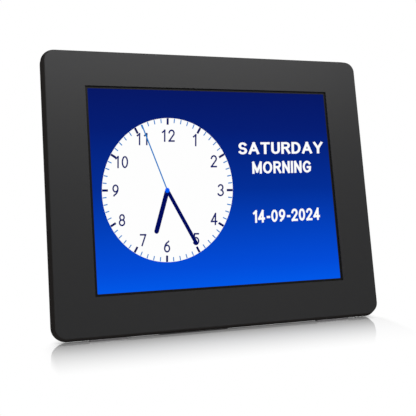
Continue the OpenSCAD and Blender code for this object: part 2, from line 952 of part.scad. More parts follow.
module speaker_frame() {
    basket_r = magnet_r + wall;
    mouth_r = grille_r + seat_gap;
    basket_y = speaker_front - basket_d;
    color("#3b3b3e")
    clock_place()
        at_speaker()
            turned()
                polygon([[speaker_r, speaker_y], [mouth_r, speaker_y], [mouth_r, speaker_front],
                         [basket_r - wall, basket_y + speaker_flange_t],
                         [magnet_r / 3, basket_y + speaker_flange_t], [magnet_r / 3, basket_y],
                         [basket_r, basket_y], [grille_r + wall, speaker_front],
                         [speaker_r, speaker_front]]);
}

module speaker_cone() {
    mouth_r = grille_r + seat_gap;
    cap_share = 0.36;
    cone_y = speaker_front - basket_d * 0.45;
    color("#1d1d20")
    clock_place()
        at_speaker()
            turned()
                polygon([[0, cone_y], [grille_r * cap_share, cone_y - cone_t],
                         [grille_r * 0.86, speaker_front], [mouth_r, speaker_front],
                         [mouth_r, speaker_front + cone_t], [grille_r * 0.84, speaker_front + cone_t],
                         [grille_r * cap_share, cone_y + cone_t], [0, cone_y + 2 * cone_t]]);
}

module speaker_magnet() {
    bevel = magnet_t / 12;
    magnet_y = speaker_front - basket_d - magnet_t;
    color("#6e7074")
    clock_place()
        at_speaker()
            turned()
                polygon([[0, magnet_y], [magnet_r - bevel, magnet_y], [magnet_r, magnet_y + bevel],
                         [magnet_r, magnet_y + magnet_t], [0, magnet_y + magnet_t]]);
}

module speaker_gasket() {
    color("#151516")
    clock_place()
        at_speaker()
            slab(speaker_y, speaker_y + speaker_gasket_t)
                difference() {
                    circle(speaker_r - seat_gap);
                    circle(grille_r + 2 * seat_gap);
                }
}

module speaker_screws() {
    color("#8d9094")
    clock_place()
        at_speaker()
            for (turn = speaker_angles)
                rotate([0, turn, 0])
                    translate([speaker_boss_ring, speaker_front, 0])
                        screw(screw_r, screw_head_r * 1.5, screw_l);
}

module speaker_plug() {
    color("#f0eee6")
    clock_place()
        at(plug_place)
            slab(board_back, board_back + plug_t)
                square([plug_w, plug_h], center = true);
}

module speaker_wires() {
    start = [plug_place[0] + plug_w / 2, board_back + plug_t / 2, plug_place[1]];
    end = [speaker_x - magnet_r, speaker_front - basket_d - magnet_t / 2, speaker_z];
    run = (end[0] - start[0]) / 3;
    color("#a02020")
    clock_place()
        for (side = [-1, 1]) {
            offset = [0, 0, side * plug_h / 4];
            wire([start + offset, start + offset + [run, 0, 0],
                  end + offset - [run, 0, plug_h], end + offset], wire_r);
        }
}

// Key board, switches and buttons

module key_board() {
    color("#1f6b3f")
    clock_place()
        difference() {
            at([0, button_z])
                slab(key_y, key_back)
                    round_rect(key_board_w, key_board_h, screw_r);
            for (side = [-1, 1])
                at([side * key_post_x, button_z])
                    bar(screw_r, key_y - overrun, key_back + overrun);
        }
}

module tact_switches() {
    color("#3c3c40")
    clock_place()
        for (name = BUTTONS)
            at([button_x(name), button_z])
                difference() {
                    translate([-switch_w / 2, key_back, -switch_w / 2])
                        cube([switch_w, switch_t, switch_w]);
                    bar(plunger_r + button_gap, switch_back - plunger_sunk() - 2 * travel, cover_in);
                }
}

module key_board_screws() {
    color("#8d9094")
    clock_place()
        for (side = [-1, 1])
            translate([side * key_post_x, key_y, button_z])
                screw(screw_r, screw_head_r, screw_l);
}

module key_connector() {
    key_plug_w = key_cable_w * 1.3;
    color("#efe9dc")
    clock_place()
        translate([key_plug_x - key_plug_w / 2, board_back, key_plug_top - connector_h])
            cube([key_plug_w, key_plug_t, connector_h]);
}

module key_cable() {
    lay_y = board_back + key_plug_t / 2;
    color("#dcdcd8")
    clock_place()
        flat_cable(key_plug_x, key_cable_w,
            [[lay_y, key_plug_top], [lay_y, button_z - key_board_h],
             [key_y - ribbon_t / 2, button_z - key_board_h / 2],
             [key_y - ribbon_t / 2, button_z - key_board_h / 4]]);
}

// A cap with a finger dish, a collar inside the cover and a neck on the switch plunger
module button_cap(name) {
    top = case_depth + cap_proud;
    color("#38383a")
    clock_place()
        at([button_x(name), button_z])
            turned()
                polygon(concat(
                    [[0, plunger_y], [plunger_r, plunger_y], [plunger_r, collar_y],
                     [collar_r, collar_y], [collar_r, collar_y + collar_t],
                     [cap_r, collar_y + collar_t], [cap_r, top - dish], [cap_r - dish, top]],
                    [for (i = [1 : edge_steps])
                        let (share = 1 - i / edge_steps)
                        [(cap_r - 2 * dish) * share, top - dish * (1 - share * share)]]));
}

module switch_plunger(name) {
    color("#8a2b24")
    clock_place()
        at([button_x(name), button_z])
            bar(plunger_r, plunger_y - plunger_l, plunger_y);
}

module button_power() { button_cap("power"); }
module button_menu() { button_cap("menu"); }
module button_left() { button_cap("left"); }
module button_right() { button_cap("right"); }
module button_up() { button_cap("up"); }
module button_down() { button_cap("down"); }
module plunger_power() { switch_plunger("power"); }
module plunger_menu() { switch_plunger("menu"); }
module plunger_left() { switch_plunger("left"); }
module plunger_right() { switch_plunger("right"); }
module plunger_up() { switch_plunger("up"); }
module plunger_down() { switch_plunger("down"); }

// Rear cover

// Layers of the raised back, drawn in by a margin for its inside
function pan_layers(margin, y0) = concat(
    [[y0, y0 + layer_t, pan_inset + margin, pan_r - margin]],
    [for (i = [0 : edge_steps])
        let (turn = 90 * i / edge_steps,
             depth = case_depth - margin - layer_t - pan_edge_r * (1 - sin(turn)),
             draw = pan_edge_r * (1 - cos(turn)))
        [depth, depth + layer_t, pan_inset + pan_taper + margin + draw, pan_r - margin - draw]]);

// Outline of the leg, widened all round by a margin
module leg_outline(margin, top, bottom) {
    slope = (leg_foot_w - leg_top_w) / 2 / leg_end;
    polygon([[-leg_top_w / 2 - margin, top], [leg_top_w / 2 + margin, top],
             [leg_top_w / 2 + margin + slope * (top - bottom), bottom],
             [-leg_top_w / 2 - margin - slope * (top - bottom), bottom]]);
}

// Solid housing inside the cover round the leg's recess and its hinge
module leg_housing() {
    hinge_w = leg_top_w + 2 * (leg_gap + pin_seat + wall);
    around = barrel_r + leg_gap + wall;
    intersection() {
        layered(pan_layers(0, rim_depth));
        translate([0, 0, hinge_z])
            union() {
                slab(recess_y - wall, case_depth)
                    leg_outline(leg_gap + wall, heel_room + wall, -hinge_z);
                translate([-hinge_w / 2, hinge_y - around, -around])
                    cube([hinge_w, case_depth - hinge_y + around, around + heel_room + wall]);
            }
    }
}

// Room for the leg, its barrel and its heel, with the sloping stop that the heel meets
module leg_recess() {
    stop = leg_plate - stop_gap;
    reach = heel_l + leg_gap;
    foot = [stop * cos(leg_open), stop * sin(leg_open)];
    tip = foot + reach * [-sin(leg_open), cos(leg_open)];
    outside = case_depth + overrun - hinge_y;
    room_w = leg_top_w + 2 * leg_gap;
    translate([0, 0, hinge_z])
        slab(recess_y, case_depth + overrun)
            leg_outline(leg_gap, 0, -hinge_z);
    translate([-room_w / 2, hinge_y, hinge_z])
        rotate([90, 0, 90]) {
            cylinder(r = barrel_r + leg_gap, h = room_w);
            linear_extrude(room_w)
                polygon([foot, tip, [tip[0], heel_room], [outside, heel_room], [outside, -overrun],
                         [0, -overrun]]);
        }
}

// The hinge pin's seats in both sides of the recess
module pin_seats(r) {
    pin_l = leg_top_w + 2 * leg_gap + 2 * pin_seat;
    translate([-pin_l / 2, hinge_y, hinge_z])
        rotate([0, 90, 0])
            cylinder(r = r, h = pin_l);
}

// A closed box behind each keyhole, so that a screw head touches nothing inside
module keyhole_boxes(margin, y0, y1) {
    for (side = [-1, 1])
        at([side * keyhole_x, keyhole_room_z])
            slab(y0, y1)
                square([keyhole_room_w + 2 * margin, keyhole_room_h + 2 * margin], center = true);
}

module keyholes() {
    for (side = [-1, 1])
        at([side * keyhole_x, keyhole_z]) {
            bar(keyhole_r, cover_in - overrun, case_depth + overrun);
            slab(cover_in - overrun, case_depth + overrun)
                translate([-keyhole_slot_r, 0])
                    square([2 * keyhole_slot_r, keyhole_slot_l - keyhole_slot_r]);
            translate([0, 0, keyhole_slot_l - keyhole_slot_r])
                bar(keyhole_slot_r, cover_in - overrun, case_depth + overrun);
        }
}

// Slots whose lengths fill a circle in front of the speaker
module speaker_slots() {
    half = floor((grille_r - slot_w) / slot_pitch);
    at_speaker()
        slab(cover_in - overrun, case_depth + overrun)
            for (i = [-half : half])
                translate([0, i * slot_pitch])
                    slot(2 * sqrt(grille_r * grille_r - i * i * slot_pitch * slot_pitch), slot_w);
}

module vent_slots() {
    for (i = [0 : vent_count - 1])
        at([board_mid, vent_z + i * slot_pitch * 1.3])
            slab(cover_in - overrun, case_depth + overrun)
                slot(vent_l, slot_w);
}

// Posts, rings and bosses moulded on the cover's inner face
module cover_posts() {
    root = case_depth - wall / 2;
    for (place = post_places)
        at(place)
            bar(post_r, board_back, root);
    for (side = [-1, 1])
        at([side * key_post_x, button_z])
            bar(key_post_r, key_back, root);
    at_speaker() {
        slab(speaker_y + speaker_gasket_t, root)
            difference() {
                circle(speaker_r);
                circle(grille_r + seat_gap);
            }
        for (turn = speaker_angles)
            rotate([0, turn, 0])
                translate([speaker_boss_ring, 0, 0])
                    bar(speaker_boss_r, speaker_front, root);
    }
}

// Screw holes in the posts and bosses
module cover_holes() {
    for (place = cover_places)
        at(place) {
            bar(cover_screw_r + seat_gap, flange_y - overrun, rim_depth + overrun);
            bar(cover_head_r + seat_gap, rim_depth - screw_head_t - seat_gap, rim_depth + overrun);
        }
    for (place = post_places)
        at(place)
            bar(screw_r, board_back - overrun, board_y + screw_l);
    for (side = [-1, 1])
        at([side * key_post_x, button_z])
            bar(screw_r, key_back - overrun, key_y + screw_l);
    at_speaker()
        for (turn = speaker_angles)
            rotate([0, turn, 0])
                translate([speaker_boss_ring, 0, 0])
                    bar(screw_r, speaker_front - overrun, speaker_front + screw_l);
    for (name = BUTTONS)
        at([button_x(name), button_z])
            bar(cap_r + button_gap, cover_in - overrun, case_depth + overrun);
    at(socket_place)
        bar(socket_hole_r, cover_in - overrun, case_depth + overrun);
}

module rear_cover() {
    flange_in = wall + seat_gap;
    flange_w = frame_w - 2 * flange_in;
    keyhole_y = cover_in - keyhole_room;
    color("#3d3d3f")
    clock_place()
        difference() {
            union() {
                difference() {
                    union() {
                        translate([0, 0, frame_mid])
                            slab(flange_y, rim_depth)
                                round_rect(flange_w, frame_h - frame_w + flange_w, frame_r - flange_in);
                        layered(pan_layers(0, rim_depth - flange_t / 2));
                    }
                    layered(pan_layers(wall, flange_y - overrun));
                }
                leg_housing();
                keyhole_boxes(wall / 2, keyhole_y - wall / 2, case_depth - wall / 2);
                cover_posts();
            }
            leg_recess();
            pin_seats(pin_r);
            keyhole_boxes(0, keyhole_y, cover_in);
            keyholes();
            speaker_slots();
            vent_slots();
            cover_holes();
        }
}

module cover_screws() {
    color("#2c2c2e")
    clock_place()
        for (place = cover_places)
            translate([place[0], rim_depth - screw_head_t - seat_gap, place[1]])
                mirror([0, 1, 0])
                    screw(cover_screw_r, cover_head_r, cover_screw_l - seat_gap);
}

// Stand

// Turns its children with the opened leg: y behind and z above the hinge's middle
module at_hinge() {
    translate([0, hinge_y, hinge_z])
        rotate([leg_open, 0, 0])
            children();
}

// The leg's plate between two depths, drawn in by a margin, with a rounded lower end
module leg_plate_shape(margin, y0, y1) {
    slope = (leg_foot_w - leg_top_w) / 2 / leg_end;
    slab(y0, y1)
        hull() {
            translate([-leg_top_w / 2 + margin, -margin - layer_t])
                square([leg_top_w - 2 * margin, layer_t]);
            for (side = [-1, 1])
                translate([side * (leg_foot_w / 2 - leg_r - slope * leg_r), leg_r - leg_end])
                    circle(leg_r - margin, $fn = outline_fn);
        }
}

module stand_leg() {
    rib_shares = [0.25, 0.5, 0.75];
    color("#3a3a3c")
    clock_place()
        at_hinge()
            difference() {
                union() {
                    difference() {
                        leg_plate_shape(0, leg_front, barrel_r);
                        leg_plate_shape(leg_skin, leg_front - overrun, leg_plate);
                    }
                    translate([-leg_skin / 2, leg_front, leg_skin / 2 - leg_end])
                        cube([leg_skin, leg_t - leg_skin / 2, leg_end - leg_skin / 2]);
                    for (share = rib_shares) {
                        half = (leg_top_w + (leg_foot_w - leg_top_w) * share - leg_skin) / 2;
                        translate([-half, leg_front, -leg_end * share])
                            cube([2 * half, leg_t - leg_skin / 2, leg_skin]);
                    }
                    translate([-leg_top_w / 2, 0, 0])
                        rotate([0, 90, 0])
                            cylinder(r = barrel_r, h = leg_top_w);
                    translate([-leg_top_w / 2, leg_plate, 0])
                        cube([leg_top_w, leg_skin, heel_l]);
                    foot_tongue();
                }
                translate([-leg_top_w / 2 - overrun, 0, 0])
                    rotate([0, 90, 0])
                        cylinder(r = pin_r + pin_gap, h = leg_top_w + 2 * overrun);
            }
}

// The tongue at the leg's end that the rubber pad is pushed onto
module foot_tongue() {
    tongue_w = leg_foot_w - 4 * leg_r;
    translate([-tongue_w / 2, (leg_front + barrel_r - tongue_t) / 2, -leg_end - tongue_l])
        cube([tongue_w, tongue_t, tongue_l + leg_skin]);
}

module stand_hinge_pin() {
    color("#c9cbce")
    clock_place()
        pin_seats(pin_r);
}

module stand_foot_pad() {
    pad_w = leg_foot_w - 2 * leg_r;
    color("#1b1b1c")
    clock_place()
        at_hinge()
            difference() {
                translate([-pad_w / 2, 0, 0])
                    rotate([90, 0, 90])
                        linear_extrude(pad_w)
                            polygon([[leg_front, -leg_end], [barrel_r, -leg_end],
                                     [barrel_r, -leg_reach(barrel_r)],
                                     [leg_front, -leg_reach(leg_front)]]);
                foot_tongue();
            }
}

front_bezel();
bezel_feet();
screen_gasket();
lcd_glass();
lcd_mid_frame();
diffuser_sheet();
light_guide();
reflector_sheet();
led_strip();
led_chips();
backlight_tray();
lcd_clamps();
clamp_screws();
lcd_ribbon();
main_board();
main_processor();
memory_chips();
power_inductor();
board_capacitors();
ribbon_connector();
coin_cell_holder();
coin_cell();
power_socket();
power_socket_pin();
board_screws();
speaker_frame();
speaker_cone();
speaker_magnet();
speaker_gasket();
speaker_screws();
speaker_plug();
speaker_wires();
key_board();
tact_switches();
key_board_screws();
key_cable();
key_connector();
rear_cover();
cover_screws();
button_power();
button_menu();
button_left();
button_right();
button_up();
button_down();
plunger_power();
plunger_menu();
plunger_left();
plunger_right();
plunger_up();
plunger_down();
stand_leg();
stand_hinge_pin();
stand_foot_pad();
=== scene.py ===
import json
import logging
import math
from contextlib import contextmanager
from dataclasses import dataclass
from enum import Enum
from typing import Callable, Dict, Iterator, List, Optional, Sequence, Tuple, Union

import bpy
from mathutils import Matrix, Vector

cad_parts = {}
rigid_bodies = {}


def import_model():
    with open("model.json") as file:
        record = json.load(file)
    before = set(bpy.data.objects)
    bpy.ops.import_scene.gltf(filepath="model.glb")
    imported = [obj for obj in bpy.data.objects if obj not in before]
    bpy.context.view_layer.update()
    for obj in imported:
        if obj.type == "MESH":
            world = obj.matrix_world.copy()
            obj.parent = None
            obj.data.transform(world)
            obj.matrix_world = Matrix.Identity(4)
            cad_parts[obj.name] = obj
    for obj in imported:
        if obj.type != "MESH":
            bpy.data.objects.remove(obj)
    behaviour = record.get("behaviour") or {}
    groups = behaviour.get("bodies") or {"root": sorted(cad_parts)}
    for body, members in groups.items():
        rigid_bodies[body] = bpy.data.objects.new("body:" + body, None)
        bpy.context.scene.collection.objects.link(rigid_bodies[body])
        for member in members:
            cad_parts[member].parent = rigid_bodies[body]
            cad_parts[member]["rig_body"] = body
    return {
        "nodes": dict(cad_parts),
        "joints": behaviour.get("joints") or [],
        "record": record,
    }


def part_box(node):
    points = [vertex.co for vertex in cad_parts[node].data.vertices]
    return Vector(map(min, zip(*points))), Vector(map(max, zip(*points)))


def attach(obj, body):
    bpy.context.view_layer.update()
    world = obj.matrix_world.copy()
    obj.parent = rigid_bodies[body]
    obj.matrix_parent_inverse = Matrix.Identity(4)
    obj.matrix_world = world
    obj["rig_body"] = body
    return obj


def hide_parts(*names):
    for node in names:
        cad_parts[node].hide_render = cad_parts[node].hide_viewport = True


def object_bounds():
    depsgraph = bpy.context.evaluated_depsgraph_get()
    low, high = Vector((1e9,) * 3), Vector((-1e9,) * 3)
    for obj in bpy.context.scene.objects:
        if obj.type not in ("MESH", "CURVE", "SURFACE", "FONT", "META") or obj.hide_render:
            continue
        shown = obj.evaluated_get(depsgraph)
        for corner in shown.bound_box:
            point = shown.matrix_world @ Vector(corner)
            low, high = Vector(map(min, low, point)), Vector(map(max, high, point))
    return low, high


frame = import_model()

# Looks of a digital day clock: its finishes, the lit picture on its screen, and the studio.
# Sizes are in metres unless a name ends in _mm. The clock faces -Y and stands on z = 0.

CAD_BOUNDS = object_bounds()
MM = 0.001
CASE_BODY = "case"
WELD_MM = 0.002
FLAT_ANGLE = math.radians(0.5)
SHARP_ANGLE = math.radians(40)
SMOOTH_ANGLE = math.radians(32)
GRAIN_GLOSS = 0.12
DEGREES_A_MINUTE = 6
MINUTES_A_MARK = 5

Piece = bpy.types.Object
Material = bpy.types.Material
Colour = Tuple[float, float, float]
Settings = Dict[str, object]
Inputs = Dict[Union[str, int], object]

EVEN = (1.0, 1.0, 1.0)
WHITE: Colour = (1.0, 1.0, 1.0)
BLACK: Colour = (0.0, 0.0, 0.0)

log = logging.getLogger("clock")


def srgb(red: float, green: float, blue: float) -> Colour:
    """Turns a colour as a screen shows it into the linear values that shaders use.

    Args:
        red: Red from 0 to 255.
        green: Green from 0 to 255.
        blue: Blue from 0 to 255.

    Returns:
        The three linear values from 0 to 1.
    """
    shares = (red / 255, green / 255, blue / 255)
    return tuple(s / 12.92 if s <= 0.04045 else ((s + 0.055) / 1.055) ** 2.4 for s in shares)


def operator(operation: str, reflected: bool = False) -> Callable[["Value", "Number"], "Value"]:
    """Makes the method of one operator on shader numbers.

    Args:
        operation: The Math node's operation.
        reflected: Whether the method's own number comes second.

    Returns:
        The method, which adds one Math node and gives its result.
    """
    def method(self: "Value", other: "Number") -> "Value":
        """Works out the operation on the two numbers."""
        first, second = (other, self) if reflected else (self, other)
        return self.graph.maths(operation, first, second)

    return method


class Value:
    """A number that a shader works out, with maths written as Python expressions.

    A comparison gives 1 where it holds, else 0. A remainder runs from 0 up.
    """

    def __init__(self, graph: "Graph", socket: bpy.types.NodeSocket) -> None:
        """Keeps the graph and the socket that gives the number."""
        self.graph = graph
        self.socket = socket

    __add__, __radd__ = operator("ADD"), operator("ADD", True)
    __sub__, __rsub__ = operator("SUBTRACT"), operator("SUBTRACT", True)
    __mul__, __rmul__ = operator("MULTIPLY"), operator("MULTIPLY", True)
    __truediv__, __rtruediv__ = operator("DIVIDE"), operator("DIVIDE", True)
    __mod__, __lt__ = operator("FLOORED_MODULO"), operator("LESS_THAN")


Number = Union[Value, float]
Mixable = Union[Value, Colour]


class Graph:
    """The node tree of one new material, or of the world."""

    def __init__(self, name: str, world: Optional[bpy.types.World] = None) -> None:
        """Empties the world given, or makes an empty material of that name.

        Args:
            name: The material's name.
            world: The world, where the tree is its own.
        """
        self.material = world or bpy.data.materials.new(name)
        self.material.use_nodes = True
        self.tree = self.material.node_tree
        self.tree.nodes.clear()

    def node(self, kind: str, inputs: Optional[Inputs] = None,
             settings: Optional[Settings] = None) -> bpy.types.Node:
        """Adds a node.

        Args:
            kind: The node's type.
            inputs: Values or links for its sockets, by name or place.
            settings: Properties to set before the inputs, by name.

        Returns:
            The new node.
        """
        made = self.tree.nodes.new(kind)
        for key, setting in (settings or {}).items():
            setattr(made, key, setting)
        for key, given in (inputs or {}).items():
            self.feed(made.inputs[key], given)
        return made

    def feed(self, socket: bpy.types.NodeSocket, given: object) -> None:
        """Links a value to a socket, or sets a plain number, colour or vector on it.

        Args:
            socket: A node's input.
            given: What it takes.
        """
        if isinstance(given, Value):
            self.tree.links.new(given.socket, socket)
        elif isinstance(given, tuple) and socket.type == "RGBA":
            socket.default_value = (*given, 1.0) if len(given) == 3 else given
        else:
            socket.default_value = given

    def out(self, node: bpy.types.Node, output: Union[str, int] = 0) -> Value:
        """The value that a node's output gives."""
        return Value(self, node.outputs[output])

    def maths(self, operation: str, first: Number, second: Number) -> Value:
        """One step of arithmetic on two numbers."""
        return self.out(self.node("ShaderNodeMath", {0: first, 1: second}, {"operation": operation}))

    def positive(self, number: Number) -> Value:
        """A number, or 0 where it is below 0."""
        return self.maths("MAXIMUM", number, 0.0)

    def place(self, stretch: Tuple[float, float, float] = EVEN, turn: float = 0.0) -> Value:
        """Where a point lies on the object, stretched along each axis after a turn about X.

        Args:
            stretch: The stretch along each axis.
            turn: The turn about X.

        Returns:
            The place, as a vector.
        """
        mapping = self.node("ShaderNodeMapping", {
            "Vector": self.out(self.node("ShaderNodeTexCoord"), "Object"),
            "Rotation": (turn, 0.0, 0.0),
            "Scale": stretch,
        })
        return self.out(mapping)

    def parts(self, vector: Value) -> Tuple[Value, Value, Value]:
        """The x, y and z of a vector."""
        split = self.node("ShaderNodeSeparateXYZ", {0: vector})
        return tuple(self.out(split, i) for i in range(3))

    def noise(self, vector: Value, scale: float, detail: float = 3.0) -> Value:
        """Soft random cloudiness from 0 to 1 at a scale per metre."""
        inputs = {"Vector": vector, "Scale": scale, "Detail": detail}
        return self.out(self.node("ShaderNodeTexNoise", inputs), "Fac")

    def cells(self, vector: Value, scale: float) -> Value:
        """Distance to the nearest of many scattered points, at a scale per metre."""
        inputs = {"Vector": vector, "Scale": scale}
        return self.out(self.node("ShaderNodeTexVoronoi", inputs), "Distance")

    def mix(self, factor: Number, low: Mixable, high: Mixable) -> Value:
        """A colour between two colours.

        Args:
            factor: 0 for the low colour to 1 for the high one.
            low: The colour at 0.
            high: The colour at 1.

        Returns:
            The colour.
        """
        made = self.node("ShaderNodeMix", {}, {"data_type": "RGBA"})
        self.feed(made.inputs["Factor"], factor)
        self.feed(made.inputs[6], low)
        self.feed(made.inputs[7], high)
        return self.out(made, 2)

    def ramp(self, factor: Value, stops: Sequence[Tuple[float, Colour]]) -> Value:
        """A colour that runs smoothly through stops of (share, colour).

        Args:
            factor: The place on the run, from 0 to 1.
            stops: The stops, in order.

        Returns:
            The colour.
        """
        made = self.node("ShaderNodeValToRGB", {"Fac": factor})
        elements = made.color_ramp.elements
        for share, _ in stops[1:-1]:
            elements.new(share)
        for element, (share, colour) in zip(elements, stops):
            element.position = share
            element.color = (*colour, 1.0)
        return self.out(made)

    def bump(self, height: Value, depth: float) -> Value:
        """The surface's direction where a height of 0 to 1 stands for a depth in metres."""
        inputs = {"Height": height, "Distance": depth, "Strength": 1.0}
        return self.out(self.node("ShaderNodeBump", inputs))

    def finish(self, **inputs: object) -> Material:
        """Ends the material in a Principled shader.

        Args:
            **inputs: Its sockets, with underscores for the spaces in their names.

        Returns:
            The finished material.
        """
        named = {key.replace("_", " "): given for key, given in inputs.items()}
        shader = self.node("ShaderNodeBsdfPrincipled", named)
        self.node("ShaderNodeOutputMaterial", {"Surface": self.out(shader)})
        return self.material


@dataclass(frozen=True)
class Moulded:
    """Moulded plastic or rubber with a fine eroded grain and slight clouds in its colour."""

    name: str
    colour: Colour
    roughness: float = 0.5
    grain_mm: float = 0.35
    relief_mm: float = 0.012
    clouds: float = 0.06
    shine: float = 0.5
    clouds_per_m: float = 35.0
    cloudy: float = 0.6

    def build(self) -> Material:
        """Makes the material.

        Returns:
            The material.
        """
        graph = Graph(self.name)
        place = graph.place()
        cloud = graph.noise(place, self.clouds_per_m, 2.0)
        grain = graph.noise(place, 1 / (self.grain_mm * MM), 2.0)
        dark = tuple(c * (1 - self.clouds) for c in self.colour)
        pale = tuple(c * (1 + self.clouds) for c in self.colour)
        return graph.finish(
            Base_Color=graph.mix(cloud * self.cloudy + grain * (1 - self.cloudy), dark, pale),
            Roughness=grain * GRAIN_GLOSS + (self.roughness - GRAIN_GLOSS / 2),
            Specular_IOR_Level=self.shine,
            Normal=graph.bump(grain, self.relief_mm * MM),
        )


@dataclass(frozen=True)
class Faced:
    """Moulded plastic with a satin face, and with a matt bevel and sides behind it, painted a little
    darker and warmer as their shade.
    """

    name: str
    face: Colour
    # The colour of the bevel and sides: the same plastic, painted a little darker and warmer as shade.
    side: Colour
    lean: float
    depth: float
    gloss: float = 0.24
    roughness: float = 0.5
    grain_mm: float = 0.3
    relief_mm: float = 0.006
    speckle: float = 0.08

    def build(self) -> Material:
        """Makes the material.

        Returns:
            The material.
        """
        graph = Graph(self.name)
        flat = graph.place(turn=self.lean)
        grain = graph.noise(flat, 1 / (self.grain_mm * MM), 2.0)
        front = graph.parts(flat)[1] < self.depth
        # Behind the face the colour turns to the painted shade of the bevel and sides.
        colour = graph.mix(front, self.side, self.face)
        return graph.finish(
            Base_Color=graph.mix(grain * self.speckle, colour, BLACK),
            Roughness=grain * GRAIN_GLOSS + (self.roughness - GRAIN_GLOSS / 2),
            Specular_IOR_Level=0.0,
            Coat_Weight=front * self.gloss,
            Coat_Roughness=self.roughness,
            Normal=graph.bump(grain, self.relief_mm * MM),
        )


@dataclass(frozen=True)
class Metal:
    """Rolled or turned metal with fine streaks along one axis."""

    name: str
    colour: Colour
    roughness: float = 0.32
    streaks: Tuple[float, float, float] = (0.04, 1.0, 1.0)
    streak_mm: float = 0.25
    relief_mm: float = 0.004
    stains_per_m: float = 120.0
    stained: float = 0.86
    blotchy: float = 0.7
    stain_gloss: float = 0.08
    streak_gloss: float = 0.18

    def build(self) -> Material:
        """Makes the material.

        Returns:
            The material.
        """
        graph = Graph(self.name)
        streak = graph.noise(graph.place(self.streaks), 1 / (self.streak_mm * MM), 3.0)
        stain = graph.noise(graph.place(), self.stains_per_m, 3.0)
        dark = tuple(c * self.stained for c in self.colour)
        mean = (self.streak_gloss + self.stain_gloss) / 2
        return graph.finish(
            Base_Color=graph.mix(stain * self.blotchy + streak * (1 - self.blotchy), dark, self.colour),
            Metallic=1.0,
            Roughness=streak * self.streak_gloss + stain * self.stain_gloss + (self.roughness - mean),
            Normal=graph.bump(streak, self.relief_mm * MM),
        )


@dataclass(frozen=True)
class Board:
    """A lacquered circuit board with buried tracks and rows of small plated holes."""

    name: str
    lacquer: Colour
    lean: float
    track_mm: float = 2.4
    waves_per_m: float = 90.0
    holes_per_m: float = 320.0
    hole_share: float = 0.16
    plating: Colour = (0.55, 0.53, 0.42)
    track_share: float = 0.3
    row_share: float = 0.25
    row_pitch: float = 1.6
    boldness: float = 0.7
    brighter: float = 2.2
    roughness: float = 0.3
    gloss: float = 0.4
    relief_mm: float = 0.03

    def build(self) -> Material:
        """Makes the material.

        Returns:
            The material.
        """
        graph = Graph(self.name)
        flat = graph.place(turn=self.lean)
        x, _, z = graph.parts(flat)
        pitch = self.track_mm * MM
        wander = graph.noise(flat, self.waves_per_m, 0.0) * (2 * pitch)
        tracks = ((x + wander) % pitch) < (self.track_share * pitch)
        rows = ((z + wander) % (self.row_pitch * pitch)) < (self.row_share * pitch)
        holes = graph.cells(flat, self.holes_per_m) < self.hole_share
        copper = tuple(min(c * self.brighter + 0.01, 1.0) for c in self.lacquer)
        tracked = graph.mix(tracks * self.boldness + rows * (1 - self.boldness), self.lacquer, copper)
        return graph.finish(
            Base_Color=graph.mix(holes, tracked, self.plating),
            Metallic=holes * 0.9,
            Roughness=self.roughness - holes * 0.08,
            Coat_Weight=self.gloss,
            Normal=graph.bump(tracks + holes, self.relief_mm * MM),
        )


@dataclass(frozen=True)
class Ribbon:
    """A flat film cable with parallel tracks under its cover film."""

    name: str
    film: Colour
    track: Colour
    pitch_mm: float = 0.8
    clouds_per_m: float = 200.0
    track_share: float = 0.45
    boldness: float = 0.85
    roughness: float = 0.28
    relief_mm: float = 0.02

    def build(self) -> Material:
        """Makes the material.

        Returns:
            The material.
        """
        graph = Graph(self.name)
        place = graph.place()
        x, _, _ = graph.parts(place)
        tracks = (x % (self.pitch_mm * MM)) < (self.track_share * self.pitch_mm * MM)
        cloud = graph.noise(place, self.clouds_per_m, 2.0)
        return graph.finish(
            Base_Color=graph.mix(tracks * self.boldness + cloud * 0.1, self.film, self.track),
            Roughness=cloud * 0.15 + self.roughness,
            Normal=graph.bump(tracks, self.relief_mm * MM),
        )


@dataclass(frozen=True)
class Clear:
    """Clear acrylic sheet with rows of fine printed dots that spread the light."""

    name: str
    tint: Colour
    dot_mm: float = 0.9
    dot_white: Colour = (0.9, 0.92, 0.95)
    dot_share: float = 0.3
    dot_roughness: float = 0.4
    roughness: float = 0.06
    clearness: float = 0.7

    def build(self) -> Material:
        """Makes the material.

        Returns:
            The material.
        """
        graph = Graph(self.name)
        dots = graph.cells(graph.place(), 1 / (self.dot_mm * MM)) < self.dot_share
        return graph.finish(
            Base_Color=graph.mix(dots, self.tint, self.dot_white),
            Roughness=dots * self.dot_roughness + self.roughness,
            Transmission_Weight=self.clearness,
            IOR=1.49,
        )


@dataclass(frozen=True)
class DarkGlass:
    """The panel's glass with its black printed border."""

    name: str
    colour: Colour
    smears_per_m: float = 45.0
    smeared: float = 1.25
    roughness: float = 0.24
    shine: float = 0.08

    def build(self) -> Material:
        """Makes the material.

        Returns:
            The material.
        """
        graph = Graph(self.name)
        smear = graph.noise(graph.place(), self.smears_per_m, 4.0)
        return graph.finish(
            Base_Color=graph.mix(smear, self.colour, tuple(c * self.smeared for c in self.colour)),
            Roughness=smear * 0.08 + self.roughness,
            Specular_IOR_Level=self.shine,
        )


